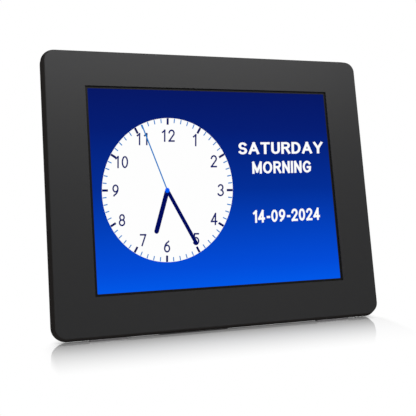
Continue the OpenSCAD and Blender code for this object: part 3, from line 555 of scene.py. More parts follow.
@dataclass(frozen=True)
class Lit:
    """A part of the lit picture: one glowing colour, or a run of colours up the screen.

    The panel's rows and columns show as a fine weave in the light.
    """

    name: str
    stops: Tuple[Tuple[float, Colour], ...]
    lean: float = 0.0
    low: float = 0.0
    height: float = 1.0
    pixel_mm: float = 0.152
    weave: float = 0.05
    gap_share: float = 0.2
    roughness: float = 0.35
    shine: float = 0.004

    def build(self) -> Material:
        """Makes the material.

        Returns:
            The material.
        """
        graph = Graph(self.name)
        flat = graph.place(turn=self.lean)
        x, _, z = graph.parts(flat)
        pitch = self.pixel_mm * MM
        width = self.gap_share * pitch
        gap = ((x % pitch) < width) * 0.5 + ((z % pitch) < width) * 0.5
        if len(self.stops) > 1:
            colour = graph.ramp((z - self.low) / self.height, self.stops)
        else:
            colour = self.stops[0][1]
        glow = graph.mix(gap * self.weave, colour, BLACK)
        return graph.finish(
            Base_Color=BLACK,
            Roughness=self.roughness,
            Specular_IOR_Level=self.shine,
            Emission_Color=glow,
            Emission_Strength=1.0,
        )


Finish = Union[Moulded, Faced, Metal, Board, Ribbon, Clear, DarkGlass, Lit]


def deselect() -> None:
    """Leaves no object selected."""
    bpy.ops.object.select_all(action="DESELECT")


def activate(piece: Piece) -> None:
    """Makes one object the only selected one and the active one.

    Args:
        piece: The object.
    """
    deselect()
    piece.select_set(True)
    bpy.context.view_layer.objects.active = piece


@contextmanager
def editing(piece: Piece) -> Iterator[None]:
    """Opens a piece in edit mode with all of it selected, and closes it again.

    Args:
        piece: The piece.

    Returns:
        The context in which operators shape it.
    """
    activate(piece)
    bpy.ops.object.mode_set(mode="EDIT")
    bpy.ops.mesh.select_all(action="SELECT")
    yield
    bpy.ops.object.mode_set(mode="OBJECT")


def add(name: str, data: bpy.types.ID) -> Piece:
    """Adds an object with the data given to the scene, both under one name.

    Args:
        name: Their name.
        data: The object's mesh, lamp or camera.

    Returns:
        The object.
    """
    data.name = name
    added = bpy.data.objects.new(name, data)
    bpy.context.scene.collection.objects.link(added)
    return added


def new_piece(name: str) -> Piece:
    """Names the object that an operator has just added.

    Args:
        name: The piece's name.

    Returns:
        The object.
    """
    piece = bpy.context.object
    piece.name = name
    piece.data.name = name
    return piece


def settle(piece: Piece, matrix: Matrix) -> Piece:
    """Puts a piece in its place and leaves its object at the origin.

    Args:
        piece: The piece, drawn about its own origin.
        matrix: Where it goes.

    Returns:
        The same piece.
    """
    activate(piece)
    piece.matrix_world = matrix
    bpy.ops.object.transform_apply(location=True, rotation=True, scale=True)
    return piece


def join(pieces: Sequence[Piece], name: str) -> Piece:
    """Joins pieces into one object.

    Args:
        pieces: The pieces, with the one that is kept first.
        name: The joined piece's name.

    Returns:
        The joined piece.
    """
    activate(pieces[0])
    for piece in pieces:
        piece.select_set(True)
    bpy.ops.object.join()
    return new_piece(name)


def dress(piece: Piece, material: Material) -> None:
    """Gives a piece or a CAD node one material."""
    piece.data.materials.clear()
    piece.data.materials.append(material)


def apply_modifier(piece: Piece, kind: str, **settings: object) -> None:
    """Adds a modifier to a piece and applies it.

    Args:
        piece: The piece.
        kind: The modifier's type.
        **settings: Its properties.
    """
    activate(piece)
    bpy.ops.object.modifier_add(type=kind)
    modifier = piece.modifiers[-1]
    for key, setting in settings.items():
        setattr(modifier, key, setting)
    bpy.ops.object.modifier_apply(modifier=modifier.name)


def refined(node: str, name: str, edge_mm: float = 0.0) -> Piece:
    """Copies a CAD node as one smooth-shaded mesh with slightly broken edges.

    Args:
        node: The CAD node, which the copy then stands for.
        name: The new piece's name.
        edge_mm: Width of the bevel on its sharp edges, or 0 for none.

    Returns:
        The new piece.
    """
    piece = add(name, frame["nodes"][node].data.copy())
    with editing(piece):
        bpy.ops.mesh.remove_doubles(threshold=WELD_MM * MM)
        bpy.ops.mesh.dissolve_limited(angle_limit=FLAT_ANGLE)
    if edge_mm:
        apply_modifier(piece, "BEVEL", width=edge_mm * MM, segments=2, limit_method="ANGLE",
                       angle_limit=SHARP_ANGLE, use_clamp_overlap=True)
    activate(piece)
    bpy.ops.object.shade_smooth_by_angle(angle=SMOOTH_ANGLE)
    apply_modifier(piece, "WEIGHTED_NORMAL", keep_sharp=True)
    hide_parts(node)
    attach(piece, frame["nodes"][node]["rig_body"])
    return piece


class Facing(Enum):
    """The two ways that a leaning face of the clock looks."""

    FRONT = 1.0
    REAR = -1.0


@dataclass(frozen=True)
class Plane:
    """A leaning face of the clock: its middle, the case's lean, and which way it looks."""

    middle: Vector
    lean: float
    facing: Facing = Facing.FRONT

    def up(self) -> Vector:
        """The way up along the face."""
        return Vector((0.0, math.sin(self.lean), math.cos(self.lean)))

    def matrix(self, right_mm: float = 0.0, up_mm: float = 0.0, lift_mm: float = 0.0) -> Matrix:
        """Where something drawn in x and y about its own origin goes on the face.

        Args:
            right_mm: Its distance to the right of the face's middle, as a viewer sees it.
            up_mm: Its distance above the middle, along the face.
            lift_mm: Its height above the face.

        Returns:
            The matrix.
        """
        right = Vector((self.facing.value, 0.0, 0.0))
        out = right.cross(self.up())
        where = self.middle + right * right_mm * MM + self.up() * up_mm * MM + out * lift_mm * MM
        axes = Matrix((right, self.up(), out)).transposed().to_4x4()
        return Matrix.Translation(where) @ axes


def case_lean() -> float:
    """The case's backward lean, from the way that its buttons are pushed."""
    press = next(joint for joint in frame["joints"] if joint["type"] == "slide")
    return math.atan2(press["axis"][2], -press["axis"][1])


def glass_plane(lean: float) -> Plane:
    """The front face of the screen's glass.

    Args:
        lean: The case's backward lean.

    Returns:
        The plane, with its middle at the glass's middle.
    """
    low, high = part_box("lcd_glass")
    across, along = high.y - low.y, high.z - low.z
    thickness = (across * math.cos(lean) - along * math.sin(lean)) / math.cos(2 * lean)
    out = Vector((0.0, -math.cos(lean), math.sin(lean)))
    return Plane((low + high) / 2 + out * thickness / 2, lean)


def back_plane(lean: float) -> Plane:
    """The rear face of the cover, found from the two keyholes in it.

    Args:
        lean: The case's backward lean.

    Returns:
        The plane, with its middle halfway between the keyholes.
    """
    holes = [mount for mount in frame["record"]["mounts"] if mount["name"].startswith("keyhole")]
    middle = sum((Vector(hole["pos_m"]) for hole in holes), Vector()) / len(holes)
    out = Vector(holes[0]["axis"])
    return Plane(middle + out * holes[0]["dims"]["length_mm"] / 2 * MM, lean, Facing.REAR)


Point = Tuple[float, float]
Stroke = Tuple[Point, ...]


def arc(middle: Point, radii: Point, start: float, end: float, steps: int = 14) -> Stroke:
    """Points along an arc.

    Args:
        middle: Its middle.
        radii: Its radii across and up.
        start: Its first angle in degrees, counted anticlockwise from the right.
        end: Its last angle.
        steps: The number of steps.

    Returns:
        The points.
    """
    turns = [math.radians(start + (end - start) * i / steps) for i in range(steps + 1)]
    return tuple((middle[0] + radii[0] * math.cos(t), middle[1] + radii[1] * math.sin(t)) for t in turns)


FIGURE_WIDTH = 0.52
FLATNESS = 0.02
CLOSED = 1e-6
STEM: Stroke = ((0, 0), (0, 1))
FIGURES: Dict[str, Tuple[Stroke, ...]] = {
    "0": (arc((0.26, 0.5), (0.26, 0.5), 90, 450, 20),),
    "1": (((0.08, 0.82), (0.3, 0.98)), ((0.3, 1), (0.3, 0))),
    "2": (arc((0.26, 0.73), (0.25, 0.27), 170, -32) + ((0.02, 0),), ((0.02, 0), (0.52, 0))),
    "3": (arc((0.24, 0.755), (0.23, 0.245), 155, -90)
          + arc((0.24, 0.255), (0.27, 0.255), 90, -155)[1:],),
    "4": (((0.41, 0), (0.41, 1)), ((0.41, 1), (0, 0.27)), ((0, 0.27), (0.55, 0.27))),
    "5": (((0.48, 1), (0.09, 1)), ((0.09, 1), (0.05, 0.52)), arc((0.24, 0.32), (0.27, 0.32), 132, -150)),
    "6": (((0.42, 0.98),) + arc((0.62, 0.33), (0.6, 0.65), 100, 180, 8)[1:],
          arc((0.27, 0.31), (0.25, 0.31), 180, 540, 18)),
    "7": (((0, 1), (0.52, 1)), ((0.52, 1), (0.17, 0))),
    "8": (arc((0.26, 0.75), (0.22, 0.25), -90, 270, 18), arc((0.26, 0.26), (0.26, 0.26), 90, 450, 18)),
    "9": (((0.12, 0.02),) + arc((-0.08, 0.67), (0.6, 0.65), -80, 0, 8)[1:],
          arc((0.27, 0.69), (0.25, 0.31), 0, 360, 18)),
    "-": (((0.08, 0.4), (0.26, 0.4)),),
    "A": (((0, 0), (0.34, 1)), ((0.34, 1), (0.68, 0)), ((0.14, 0.3), (0.54, 0.3))),
    "D": (STEM, ((0, 1), (0.2, 1)) + arc((0.22, 0.5), (0.36, 0.5), 90, -90) + ((0.2, 0), (0, 0))),
    "G": (arc((0.34, 0.5), (0.34, 0.5), 42, 318, 20), ((0.61, 0.17), (0.64, 0.45)),
          ((0.64, 0.45), (0.42, 0.45))),
    "I": (STEM,),
    "M": (STEM, ((0, 1), (0.36, 0.1)), ((0.36, 0.1), (0.72, 1)), ((0.72, 1), (0.72, 0))),
    "N": (STEM, ((0, 1), (0.54, 0)), ((0.54, 0), (0.54, 1))),
    "O": (arc((0.35, 0.5), (0.35, 0.5), 90, 450, 24),),
    "R": (STEM, ((0, 1), (0.3, 1)) + arc((0.32, 0.755), (0.22, 0.245), 90, -90)
          + ((0, 0.51),), ((0.3, 0.5), (0.56, 0))),
    "S": (arc((0.28, 0.745), (0.24, 0.255), 28, 270) + arc((0.28, 0.245), (0.26, 0.245), 90, -152)[1:],),
    "T": (((0, 1), (0.58, 1)), ((0.29, 1), (0.29, 0))),
    "U": (((0, 1), (0, 0.34)) + arc((0.27, 0.32), (0.27, 0.32), 180, 360)[1:] + ((0.54, 1),),),
    "Y": (((0, 1), (0.31, 0.45)), ((0.62, 1), (0.31, 0.45)), ((0.31, 0.5), (0.31, 0))),
}


def written(text: str, gap: float, even: bool = False) -> List[Stroke]:
    """The strokes of a line of figures or letters.

    Args:
        text: What it says.
        gap: The space between the strokes of two neighbours, as a share of their height.
        even: Whether each figure takes the same room.

    Returns:
        The strokes, 1 high and running to the right from 0.
    """
    strokes: List[Stroke] = []
    start = 0.0
    for letter in text:
        strokes += [tuple((start + x, y) for x, y in stroke) for stroke in FIGURES[letter]]
        width = FIGURE_WIDTH if even else max(x for stroke in FIGURES[letter] for x, _ in stroke)
        start += gap + width
    return strokes


def capped(stroke: Stroke, cap: float) -> Stroke:
    """A stroke made longer by a square cap at each end, unless it is a closed ring.

    Args:
        stroke: The stroke.
        cap: The length of each cap.

    Returns:
        The longer stroke.
    """
    first, last = Vector(stroke[0]), Vector(stroke[-1])
    if (first - last).length < CLOSED:
        return stroke
    first += (first - Vector(stroke[1])).normalized() * cap
    last += (last - Vector(stroke[-2])).normalized() * cap
    return (tuple(first),) + stroke[1:-1] + (tuple(last),)


class Sign(Enum):
    """The plain signs printed on the back, as strokes in a unit square."""

    POWER = (arc((0.5, 0.45), (0.45, 0.45), 125, 415, 20), ((0.5, 1), (0.5, 0.5)))
    MENU = (((0.1, 0.8), (0.9, 0.8)), ((0.1, 0.5), (0.9, 0.5)), ((0.1, 0.2), (0.9, 0.2)))
    LEFT = (((0.75, 1), (0.2, 0.5), (0.75, 0)),)
    RIGHT = (((0.25, 1), (0.8, 0.5), (0.25, 0)),)
    UP = (((0, 0.25), (0.5, 0.8), (1, 0.25)),)
    DOWN = (((0, 0.75), (0.5, 0.2), (1, 0.75)),)
    POLARITY = (((-1.1, 0.5), (-0.6, 0.5)), ((-0.45, 0.5), (-0.1, 0.5)),
                arc((0.5, 0.5), (0.6, 0.6), 40, 320, 18), ((0.45, 0.5), (1.45, 0.5)),
                ((1.6, 0.5), (2.1, 0.5)), ((1.85, 0.25), (1.85, 0.75)))


def stroked(name: str, strokes: Sequence[Stroke], height_mm: float, stroke_mm: float) -> Piece:
    """Flat strokes of even width with a common middle at the origin.

    Args:
        name: The new piece's name.
        strokes: The strokes, 1 high.
        height_mm: Their height from middle line to middle line.
        stroke_mm: The strokes' width.

    Returns:
        The new piece, as a mesh.
    """
    deselect()
    bpy.ops.curve.primitive_bezier_curve_add()
    curve = bpy.context.object.data
    curve.splines.clear()
    for stroke in (capped(drawn, stroke_mm / 2 / height_mm) for drawn in strokes):
        spline = curve.splines.new("POLY")
        spline.points.add(len(stroke) - 1)
        for point, (x, y) in zip(spline.points, stroke):
            point.co = (x * height_mm * MM, y * height_mm * MM, 0.0, 1.0)
    curve.bevel_depth = stroke_mm / 2 * MM
    curve.bevel_resolution = 1
    curve.use_fill_caps = True
    bpy.ops.object.convert(target="MESH")
    piece = new_piece(name)
    xs, ys = [[point[axis] for stroke in strokes for point in stroke] for axis in (0, 1)]
    middle = Vector(((min(xs) + max(xs)) / 2, (min(ys) + max(ys)) / 2, 0.0)) * height_mm * MM
    piece.data.transform(Matrix.Diagonal((1.0, 1.0, FLATNESS, 1.0)) @ Matrix.Translation(-middle))
    return piece


ROUND_END = 0.49
CUT_END = 0.05


@dataclass(frozen=True)
class Bar:
    """A flat bar that points out from the dial's middle, with round ends if it starts there."""

    name: str
    length_mm: float
    width_mm: float
    start_mm: float
    lift_mm: float

    def rounding_mm(self) -> float:
        """Radius of its corners."""
        return self.width_mm * (ROUND_END if self.start_mm <= 0 else CUT_END)


class Tick(Enum):
    """The two kinds of mark round the dial."""

    HOURS = Bar("hour_marks", 3.8, 1.35, 38.5, 0.065)
    MINUTES = Bar("minute_marks", 2.6, 0.65, 39.6, 0.06)


class Hand(Enum):
    """The dial's three hands."""

    HOUR = Bar("hour_hand", 27.2, 3.0, -0.6, 0.08)
    MINUTE = Bar("minute_hand", 38.2, 2.3, -0.5, 0.085)
    SECOND = Bar("second_hand", 42.0, 0.8, 0.0, 0.09)


@dataclass(frozen=True)
class Line:
    """A line of words on the screen: its middle and the size that it fills."""

    name: str
    words: str
    right_mm: float
    up_mm: float
    width_mm: float
    height_mm: float


@dataclass
class Picture:
    """The lit picture: a blue ground with a dial on the left and three lines of words beside it.

    The dial is stretched, slanted and tapered so that it looks as the camera saw it.
    """

    plane: Plane
    width_mm: float = 155.6
    height_mm: float = 121.5
    dial_x_mm: float = -32.95
    dial_y_mm: float = -1.5
    dial_r_mm: float = 42.4
    dial_stretch: Tuple[float, float] = (0.957, 1.034)
    dial_slant: Tuple[float, float] = (0.069, -0.017)
    dial_taper: Tuple[float, float] = (0.76, 0.38)
    line_slant: Tuple[float, float] = (0.062, 0.009)
    numeral_r_mm: Tuple[float, float] = (34.1, 34.0)
    numeral_shift_mm: float = 0.48
    nudges_mm: Tuple[Tuple[int, float, float], ...] = (
        (4, 0.4, 0.0), (5, 1.3, 0.6), (6, -0.5, 0.8), (7, 0.9, 0.1), (8, -0.3, -0.5), (10, -0.6, -0.3),
        (11, 0.1, 0.7), (12, 0.0, -1.9),
    )
    numeral_h_mm: float = 6.3
    numeral_stroke_mm: float = 0.95
    numeral_gap: float = 0.22
    line_stroke: float = 0.178
    line_gap: float = 0.33
    hub_r_mm: float = 1.5
    rim: float = 0.02
    corner_mm: float = 0.4
    hour: float = 6.53
    minute: float = 24.8
    second: float = 56.1
    lines: Tuple[Line, ...] = (
        Line("weekday_line", "SATURDAY", 44.3, 24.5, 59.5, 7.7),
        Line("daypart_line", "MORNING", 43.6, 12.0, 41.3, 7.8),
        Line("date_line", "14-09-2024", 44.2, -19.0, 46.6, 7.9),
    )

    def build(self) -> List[Piece]:
        """Makes every piece of the picture.

        Returns:
            The pieces, dressed and riding on the case.
        """
        ground = Lit("picture_blue", (
            (0.0, srgb(0, 88, 233)), (0.1, srgb(2, 76, 217)), (0.49, srgb(2, 46, 151)),
            (0.8, srgb(4, 29, 116)), (1.0, srgb(4, 23, 102)),
        ), self.plane.lean, self.low_edge(), self.height_mm * MM)
        white = Lit("picture_white", ((0.0, srgb(255, 255, 255)),))
        navy = Lit("picture_navy", ((0.0, srgb(0, 10, 90)),))
        ink = Lit("picture_ink", ((0.0, srgb(18, 30, 104)),))
        sky = Lit("picture_sky", ((0.0, srgb(40, 126, 200)),))
        hub = Lit("picture_hub", ((0.0, srgb(0, 90, 250)),))
        parts = [
            (self.ground(), ground),
            (self.disc("dial_face", self.dial_r_mm, lift_mm=0.04, sides=128), white),
            (self.ticks(Tick.MINUTES), sky), (self.ticks(Tick.HOURS), navy), (self.numerals(), ink),
            (self.hand(Hand.HOUR, self.turn(MINUTES_A_MARK * self.hour)), navy),
            (self.hand(Hand.MINUTE, self.turn(self.minute)), navy),
            (self.hand(Hand.SECOND, self.turn(self.second)), sky),
            (self.disc("dial_hub", self.hub_r_mm, lift_mm=0.1, sides=32), hub),
        ]
        parts += [(self.words(line), white) for line in self.lines]
        for piece, finish in parts:
            dress(piece, made(finish))
            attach(piece, CASE_BODY)
        return [piece for piece, _ in parts]

    def low_edge(self) -> float:
        """Height of the picture's lower edge along the leaning plane."""
        return self.plane.middle.dot(self.plane.up()) - self.height_mm * MM / 2

    def turn(self, minutes: float) -> float:
        """Clockwise turn from the top for a number of minutes on the dial."""
        return math.radians(DEGREES_A_MINUTE * minutes)

    def slanted(self, slant: Tuple[float, float], across: float = 1.0, up: float = 1.0) -> Matrix:
        """A slant of the picture's upright and level lines, after a stretch across and up.

        Args:
            slant: How far upright lines lean right and level ones rise.
            across: The stretch across.
            up: The stretch up.

        Returns:
            The matrix.
        """
        return Matrix((
            (across, slant[0] * up, 0.0, 0.0), (slant[1] * across, up, 0.0, 0.0),
            (0.0, 0.0, 1.0, 0.0), (0.0, 0.0, 0.0, 1.0),
        ))

    def on_dial(self, piece: Piece, lift_mm: float, turn: float = 0.0) -> Piece:
        """Puts a piece drawn about the dial's middle in its place.

        Args:
            piece: The piece.
            lift_mm: Its height above the glass.
            turn: Its clockwise turn on the dial.

        Returns:
            The same piece.
        """
        shape = self.slanted(self.dial_slant, *self.dial_stretch)
        piece.data.transform(shape @ Matrix.Rotation(-turn, 4, "Z"))
        for vertex in piece.data.vertices:
            vertex.co /= 1.0 - vertex.co.x * self.dial_taper[0] - vertex.co.y * self.dial_taper[1]
        return settle(piece, self.plane.matrix(self.dial_x_mm, self.dial_y_mm, lift_mm))

    def ground(self) -> Piece:
        """The blue sheet behind all else, with slightly round corners.

        Returns:
            The piece.
        """
        deselect()
        bpy.ops.mesh.primitive_plane_add(size=1.0)
        piece = new_piece("picture_ground")
        piece.scale = (self.width_mm * MM, self.height_mm * MM, 1.0)
        bpy.ops.object.transform_apply(scale=True)
        round_corners(piece, self.corner_mm, steps=3)
        return settle(piece, self.plane.matrix(lift_mm=0.02))

    def disc(self, name: str, r_mm: float, lift_mm: float, sides: int) -> Piece:
        """A round patch about the dial's middle, with its rim drawn in as a ring of its own.

        Args:
            name: The new piece's name.
            r_mm: Its radius.
            lift_mm: Its height above the glass.
            sides: The number of its sides.

        Returns:
            The piece.
        """
        deselect()
        bpy.ops.mesh.primitive_circle_add(vertices=sides, radius=r_mm * MM, fill_type="NGON")
        piece = new_piece(name)
        with editing(piece):
            bpy.ops.mesh.inset(thickness=r_mm * MM * self.rim)
        return self.on_dial(piece, lift_mm)

    def bar(self, form: Bar) -> Piece:
        """A flat bar that points up from the dial's middle.

        Args:
            form: Its name and sizes.

        Returns:
            The piece, not yet on the dial.
        """
        deselect()
        middle = (form.start_mm + form.length_mm / 2) * MM
        bpy.ops.mesh.primitive_plane_add(size=1.0, location=(0.0, middle, 0.0))
        piece = new_piece(form.name)
        piece.scale = (form.width_mm * MM, form.length_mm * MM, 1.0)
        bpy.ops.object.transform_apply(location=True, scale=True)
        round_corners(piece, form.rounding_mm(), steps=4)
        return piece

    def ticks(self, kind: Tick) -> Piece:
        """The dial's twelve bold marks, or the thin ones between them.

        Args:
            kind: Which of the two.

        Returns:
            The marks, as one piece.
        """
        minutes = [m for m in range(60) if (m % MINUTES_A_MARK == 0) == (kind is Tick.HOURS)]
        first = self.bar(kind.value)
        marks = []
        for minute in minutes:
            mark = add("mark", first.data.copy())
            mark.data.transform(Matrix.Rotation(-self.turn(minute), 4, "Z"))
            marks.append(mark)
        bpy.data.objects.remove(first)
        return self.on_dial(join(marks, kind.value.name), kind.value.lift_mm)

    def hand(self, kind: Hand, turn: float) -> Piece:
        """One hand of the dial."""
        return self.on_dial(self.bar(kind.value), kind.value.lift_mm, turn)

    def numerals(self) -> Piece:
        """The numbers 1 to 12, upright round the dial.

        Returns:
            The numbers, as one piece.
        """
        nudges = {number: (right, rise) for number, right, rise in self.nudges_mm}
        marks = []
        for number in range(1, 13):
            strokes = written(str(number), self.numeral_gap, even=True)
            mark = stroked("numeral", strokes, self.numeral_h_mm, self.numeral_stroke_mm)
            turn = self.turn(MINUTES_A_MARK * number)
            across, up = math.sin(turn) * self.numeral_r_mm[0], math.cos(turn) * self.numeral_r_mm[1]
            right, rise = nudges.get(number, (0.0, 0.0))
            place = Vector((across + self.numeral_shift_mm + right, up + rise, 0.0))
            mark.data.transform(Matrix.Translation(place * MM))
            marks.append(mark)
        return self.on_dial(join(marks, "dial_numerals"), lift_mm=0.075)

    def words(self, line: Line) -> Piece:
        """A line of bold letters, fitted to its width and height.

        Args:
            line: The line.

        Returns:
            The piece.
        """
        strokes = written(line.words, self.line_gap)
        stroke_mm = line.height_mm * self.line_stroke
        piece = stroked(line.name, strokes, line.height_mm - stroke_mm, stroke_mm)
        xs = [vertex.co.x for vertex in piece.data.vertices]
        piece.data.transform(self.slanted(self.line_slant, line.width_mm * MM / (max(xs) - min(xs))))
        return settle(piece, self.plane.matrix(line.right_mm, line.up_mm, lift_mm=0.05))


def round_corners(piece: Piece, r_mm: float, steps: int) -> None:
    """Rounds the corners of a flat piece.

    Args:
        piece: The piece.
        r_mm: The corners' radius.
        steps: The number of steps in each.
    """
    with editing(piece):
        bpy.ops.mesh.bevel(offset=r_mm * MM, segments=steps, affect="VERTICES", profile=0.5)


MATERIALS: Dict[str, Material] = {}
ZINC = Metal("zinc_screw", srgb(150, 152, 156), 0.3, EVEN, 0.5, 0.006)


def made(finish: Finish) -> Material:
    """The material of a finish, made once and then shared.

    Args:
        finish: The finish.

    Returns:
        Its material.
    """
    if finish.name not in MATERIALS:
        MATERIALS[finish.name] = finish.build()
    return MATERIALS[finish.name]


def dress_nodes(finishes: Dict[str, Finish]) -> None:
    """Gives CAD nodes their finishes, by name."""
    for node, finish in finishes.items():
        dress(frame["nodes"][node], made(finish))


def shown(node: str, name: str, finish: Finish, edge_mm: float = 0.0) -> Piece:
    """Makes a piece that stands for a CAD node.

    Args:
        node: The CAD node.
        name: The new piece's name.
        finish: Its finish.
        edge_mm: Width of the bevel on its sharp edges, or 0 for none.

    Returns:
        The new piece.
    """
    piece = refined(node, name, edge_mm)
    dress(piece, made(finish))
    return piece


@dataclass
class Case:
    """The moulded front frame, the rear cover, the feet and the screws between them.

    The frame's face stands face_mm before the glass, and the bevel starts edge_mm behind the face.
    """

    plane: Plane
    face_mm: float = 1.0
    edge_mm: float = 0.45
    broken_mm: float = 0.15
    face: Colour = srgb(39.5, 39.5, 40)
    # The bevel and sides: the frame's plastic painted a little darker and warmer as their shade.
    side: Colour = srgb(40.5, 38.5, 37.5)
    back: Moulded = Moulded("cover_grain", srgb(54, 54, 55), 0.62, 0.45, 0.03, 0.08)
    rubber: Moulded = Moulded("foot_rubber", srgb(188, 186, 188), 0.8, 0.6, 0.03, 0.12, 0.3)
    screw: Metal = Metal("black_screw", srgb(70, 70, 72), 0.4, EVEN, 0.5, 0.006)

    def build(self) -> List[Piece]:
        """Makes and dresses the pieces.

        Returns:
            The new pieces.
        """
        across = Vector((0.0, math.cos(self.plane.lean), -math.sin(self.plane.lean)))
        depth = self.plane.middle.dot(across) + (self.edge_mm - self.face_mm) * MM
        front = Faced("frame_satin", self.face, self.side, self.plane.lean, depth)
        dress_nodes({"bezel_feet": self.rubber})
        return [
            shown("front_bezel", "front_frame", front, self.broken_mm),
            shown("rear_cover", "rear_housing", self.back),
            shown("cover_screws", "housing_screws", self.screw),
        ]


@dataclass
class Stand:
    """The fold-out leg, its pin and its rubber foot."""

    leg: Moulded = Moulded("leg_grain", srgb(50, 50, 51), 0.6, 0.45, 0.03, 0.08)
    pad: Moulded = Moulded("pad_rubber", srgb(26, 26, 27), 0.82, 0.6, 0.03, 0.12, 0.3)
    pin: Metal = Metal("pin_steel", srgb(190, 190, 192), 0.25)

    def build(self) -> List[Piece]:
        """Makes and dresses the pieces.

        Returns:
            The new pieces.
        """
        dress_nodes({"stand_foot_pad": self.pad})
        return [
            shown("stand_leg", "fold_out_leg", self.leg),
            shown("stand_hinge_pin", "leg_pin", self.pin),
        ]


@dataclass
class Buttons:
    """The six caps on the back, the plungers under them and the signs printed beside them."""

    back: Plane
    row_mm: float = 33.4
    pitch_mm: float = 15.0
    sign_mm: float = 2.6
    stroke_mm: float = 0.35
    below_socket_mm: float = 9.0
    names: Tuple[str, ...] = ("power", "menu", "left", "right", "up", "down")
    cap: Moulded = Moulded("cap_satin", srgb(44, 44, 46), 0.42, 0.3, 0.008, 0.05)
    plunger: Moulded = Moulded("plunger_plastic", srgb(138, 43, 36), 0.45)
    ink: Moulded = Moulded("pad_print", srgb(168, 168, 166), 0.6, 0.25, 0.004, 0.1)

    def build(self) -> List[Piece]:
        """Makes and dresses the pieces.

        Returns:
            The new pieces.
        """
        pieces = []
        for i, name in enumerate(self.names):
            cap = shown("button_" + name, "cap_" + name, self.cap)
            dress_nodes({"plunger_" + name: self.plunger})
            place = (i - (len(self.names) - 1) / 2) * self.pitch_mm
            pieces += [cap, self.sign(Sign[name.upper()], -place, self.row_mm)]
        low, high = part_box("power_socket_pin")
        socket = (low + high) / 2 - self.back.middle
        below = socket.dot(self.back.up()) / MM - self.below_socket_mm
        pieces.append(self.sign(Sign.POLARITY, -socket.x / MM, below))
        return pieces

    def sign(self, kind: Sign, right_mm: float, up_mm: float) -> Piece:
        """One printed sign on the back.

        Args:
            kind: Which sign.
            right_mm: Its distance to the right of the back's middle.
            up_mm: Its distance above the middle.

        Returns:
            The piece.
        """
        piece = stroked("sign_" + kind.name.lower(), kind.value, self.sign_mm, self.stroke_mm)
        settle(piece, self.back.matrix(right_mm, up_mm, lift_mm=0.01))
        dress(piece, made(self.ink))
        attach(piece, CASE_BODY)
        return piece


@dataclass
class Screen:
    """The screen's layers behind the glass."""

    lean: float

    def build(self) -> None:
        """Dresses the layers from the glass to the steel tray."""
        dress_nodes({
            "screen_gasket": Moulded("gasket_foam", srgb(24, 24, 24), 0.9, 0.5, 0.05, 0.2, 0.2),
            "lcd_glass": DarkGlass("panel_glass", srgb(14, 13, 12)),
            "lcd_mid_frame": Moulded("mid_frame_white", srgb(226, 226, 222), 0.5),
            "diffuser_sheet": Moulded("diffuser_film", srgb(236, 236, 234), 0.4, 0.2, 0.006, 0.02),
            "light_guide": Clear("guide_acrylic", srgb(214, 226, 236)),
            "reflector_sheet": Moulded("reflector_film", srgb(240, 240, 240), 0.3, 0.2, 0.004, 0.02),
            "led_strip": Board("strip_lacquer", srgb(30, 92, 60), self.lean, 1.2),
            "led_chips": Moulded("phosphor", srgb(236, 214, 120), 0.35, 0.2, 0.01, 0.1),
            "backlight_tray": Metal("tray_steel", srgb(186, 188, 192), 0.36),
            "lcd_clamps": Metal("clamp_steel", srgb(170, 172, 176), 0.3),
            "clamp_screws": ZINC,
            "lcd_ribbon": Ribbon("screen_ribbon", srgb(176, 112, 44), srgb(120, 66, 24)),
        })


@dataclass
class Electronics:
    """The boards, the speaker, and what they carry."""

    lean: float

    def build(self) -> List[Piece]:
        """Makes and dresses the pieces.

        Returns:
            The new pieces.
        """
        board = Board("board_lacquer", srgb(22, 88, 48), self.lean)
        resin = Moulded("chip_resin", srgb(34, 34, 37), 0.6, 0.25, 0.01, 0.08)
        cream = Moulded("plug_nylon", srgb(226, 220, 204), 0.5, 0.4, 0.01, 0.04)
        black = Moulded("socket_moulding", srgb(26, 26, 28), 0.35, 0.4, 0.006, 0.06)
        paper = Moulded("cone_paper", srgb(32, 32, 34), 0.85, 0.8, 0.06, 0.2, 0.2)
        brass = Metal("contact_brass", srgb(212, 182, 108), 0.25)
        basket = Metal("basket_steel", srgb(120, 122, 126), 0.35)
        magnet = Metal("magnet_steel", srgb(128, 130, 134), 0.3)
        dress_nodes({
            "main_board": board,
            "key_board": board,
            "main_processor": resin,
            "memory_chips": resin,
            "power_inductor": Moulded("ferrite", srgb(58, 58, 62), 0.7, 0.4, 0.03, 0.15),
            "board_capacitors": Metal("can_aluminium", srgb(196, 198, 202), 0.28),
            "ribbon_connector": cream,
            "key_connector": cream,
            "speaker_plug": cream,
            "coin_cell_holder": black,
            "coin_cell": Metal("cell_steel", srgb(206, 208, 210), 0.22, EVEN, 0.6, 0.004),
            "tact_switches": black,
            "board_screws": ZINC,
            "key_board_screws": ZINC,
            "speaker_screws": ZINC,
            "speaker_gasket": Moulded("ring_foam", srgb(24, 24, 24), 0.9, 0.5, 0.05, 0.2, 0.2),
            "speaker_wires": Moulded("wire_sheath", srgb(158, 34, 32), 0.45, 0.5, 0.006, 0.05),
            "key_cable": Ribbon("key_ribbon", srgb(222, 222, 216), srgb(150, 150, 150), 1.0),
        })
        return [
            shown("power_socket", "jack_body", black),
            shown("power_socket_pin", "jack_pin", brass),
            shown("speaker_frame", "basket_ring", basket),
            shown("speaker_cone", "paper_cone", paper),
            shown("speaker_magnet", "magnet_disc", magnet),
        ]


@dataclass(frozen=True)
class Lamp:
    """An oblong soft lamp: where it hangs, its two sides in metres and its power in watts."""

    name: str
    where: Tuple[float, float, float]
    size: Tuple[float, float]
    power: float


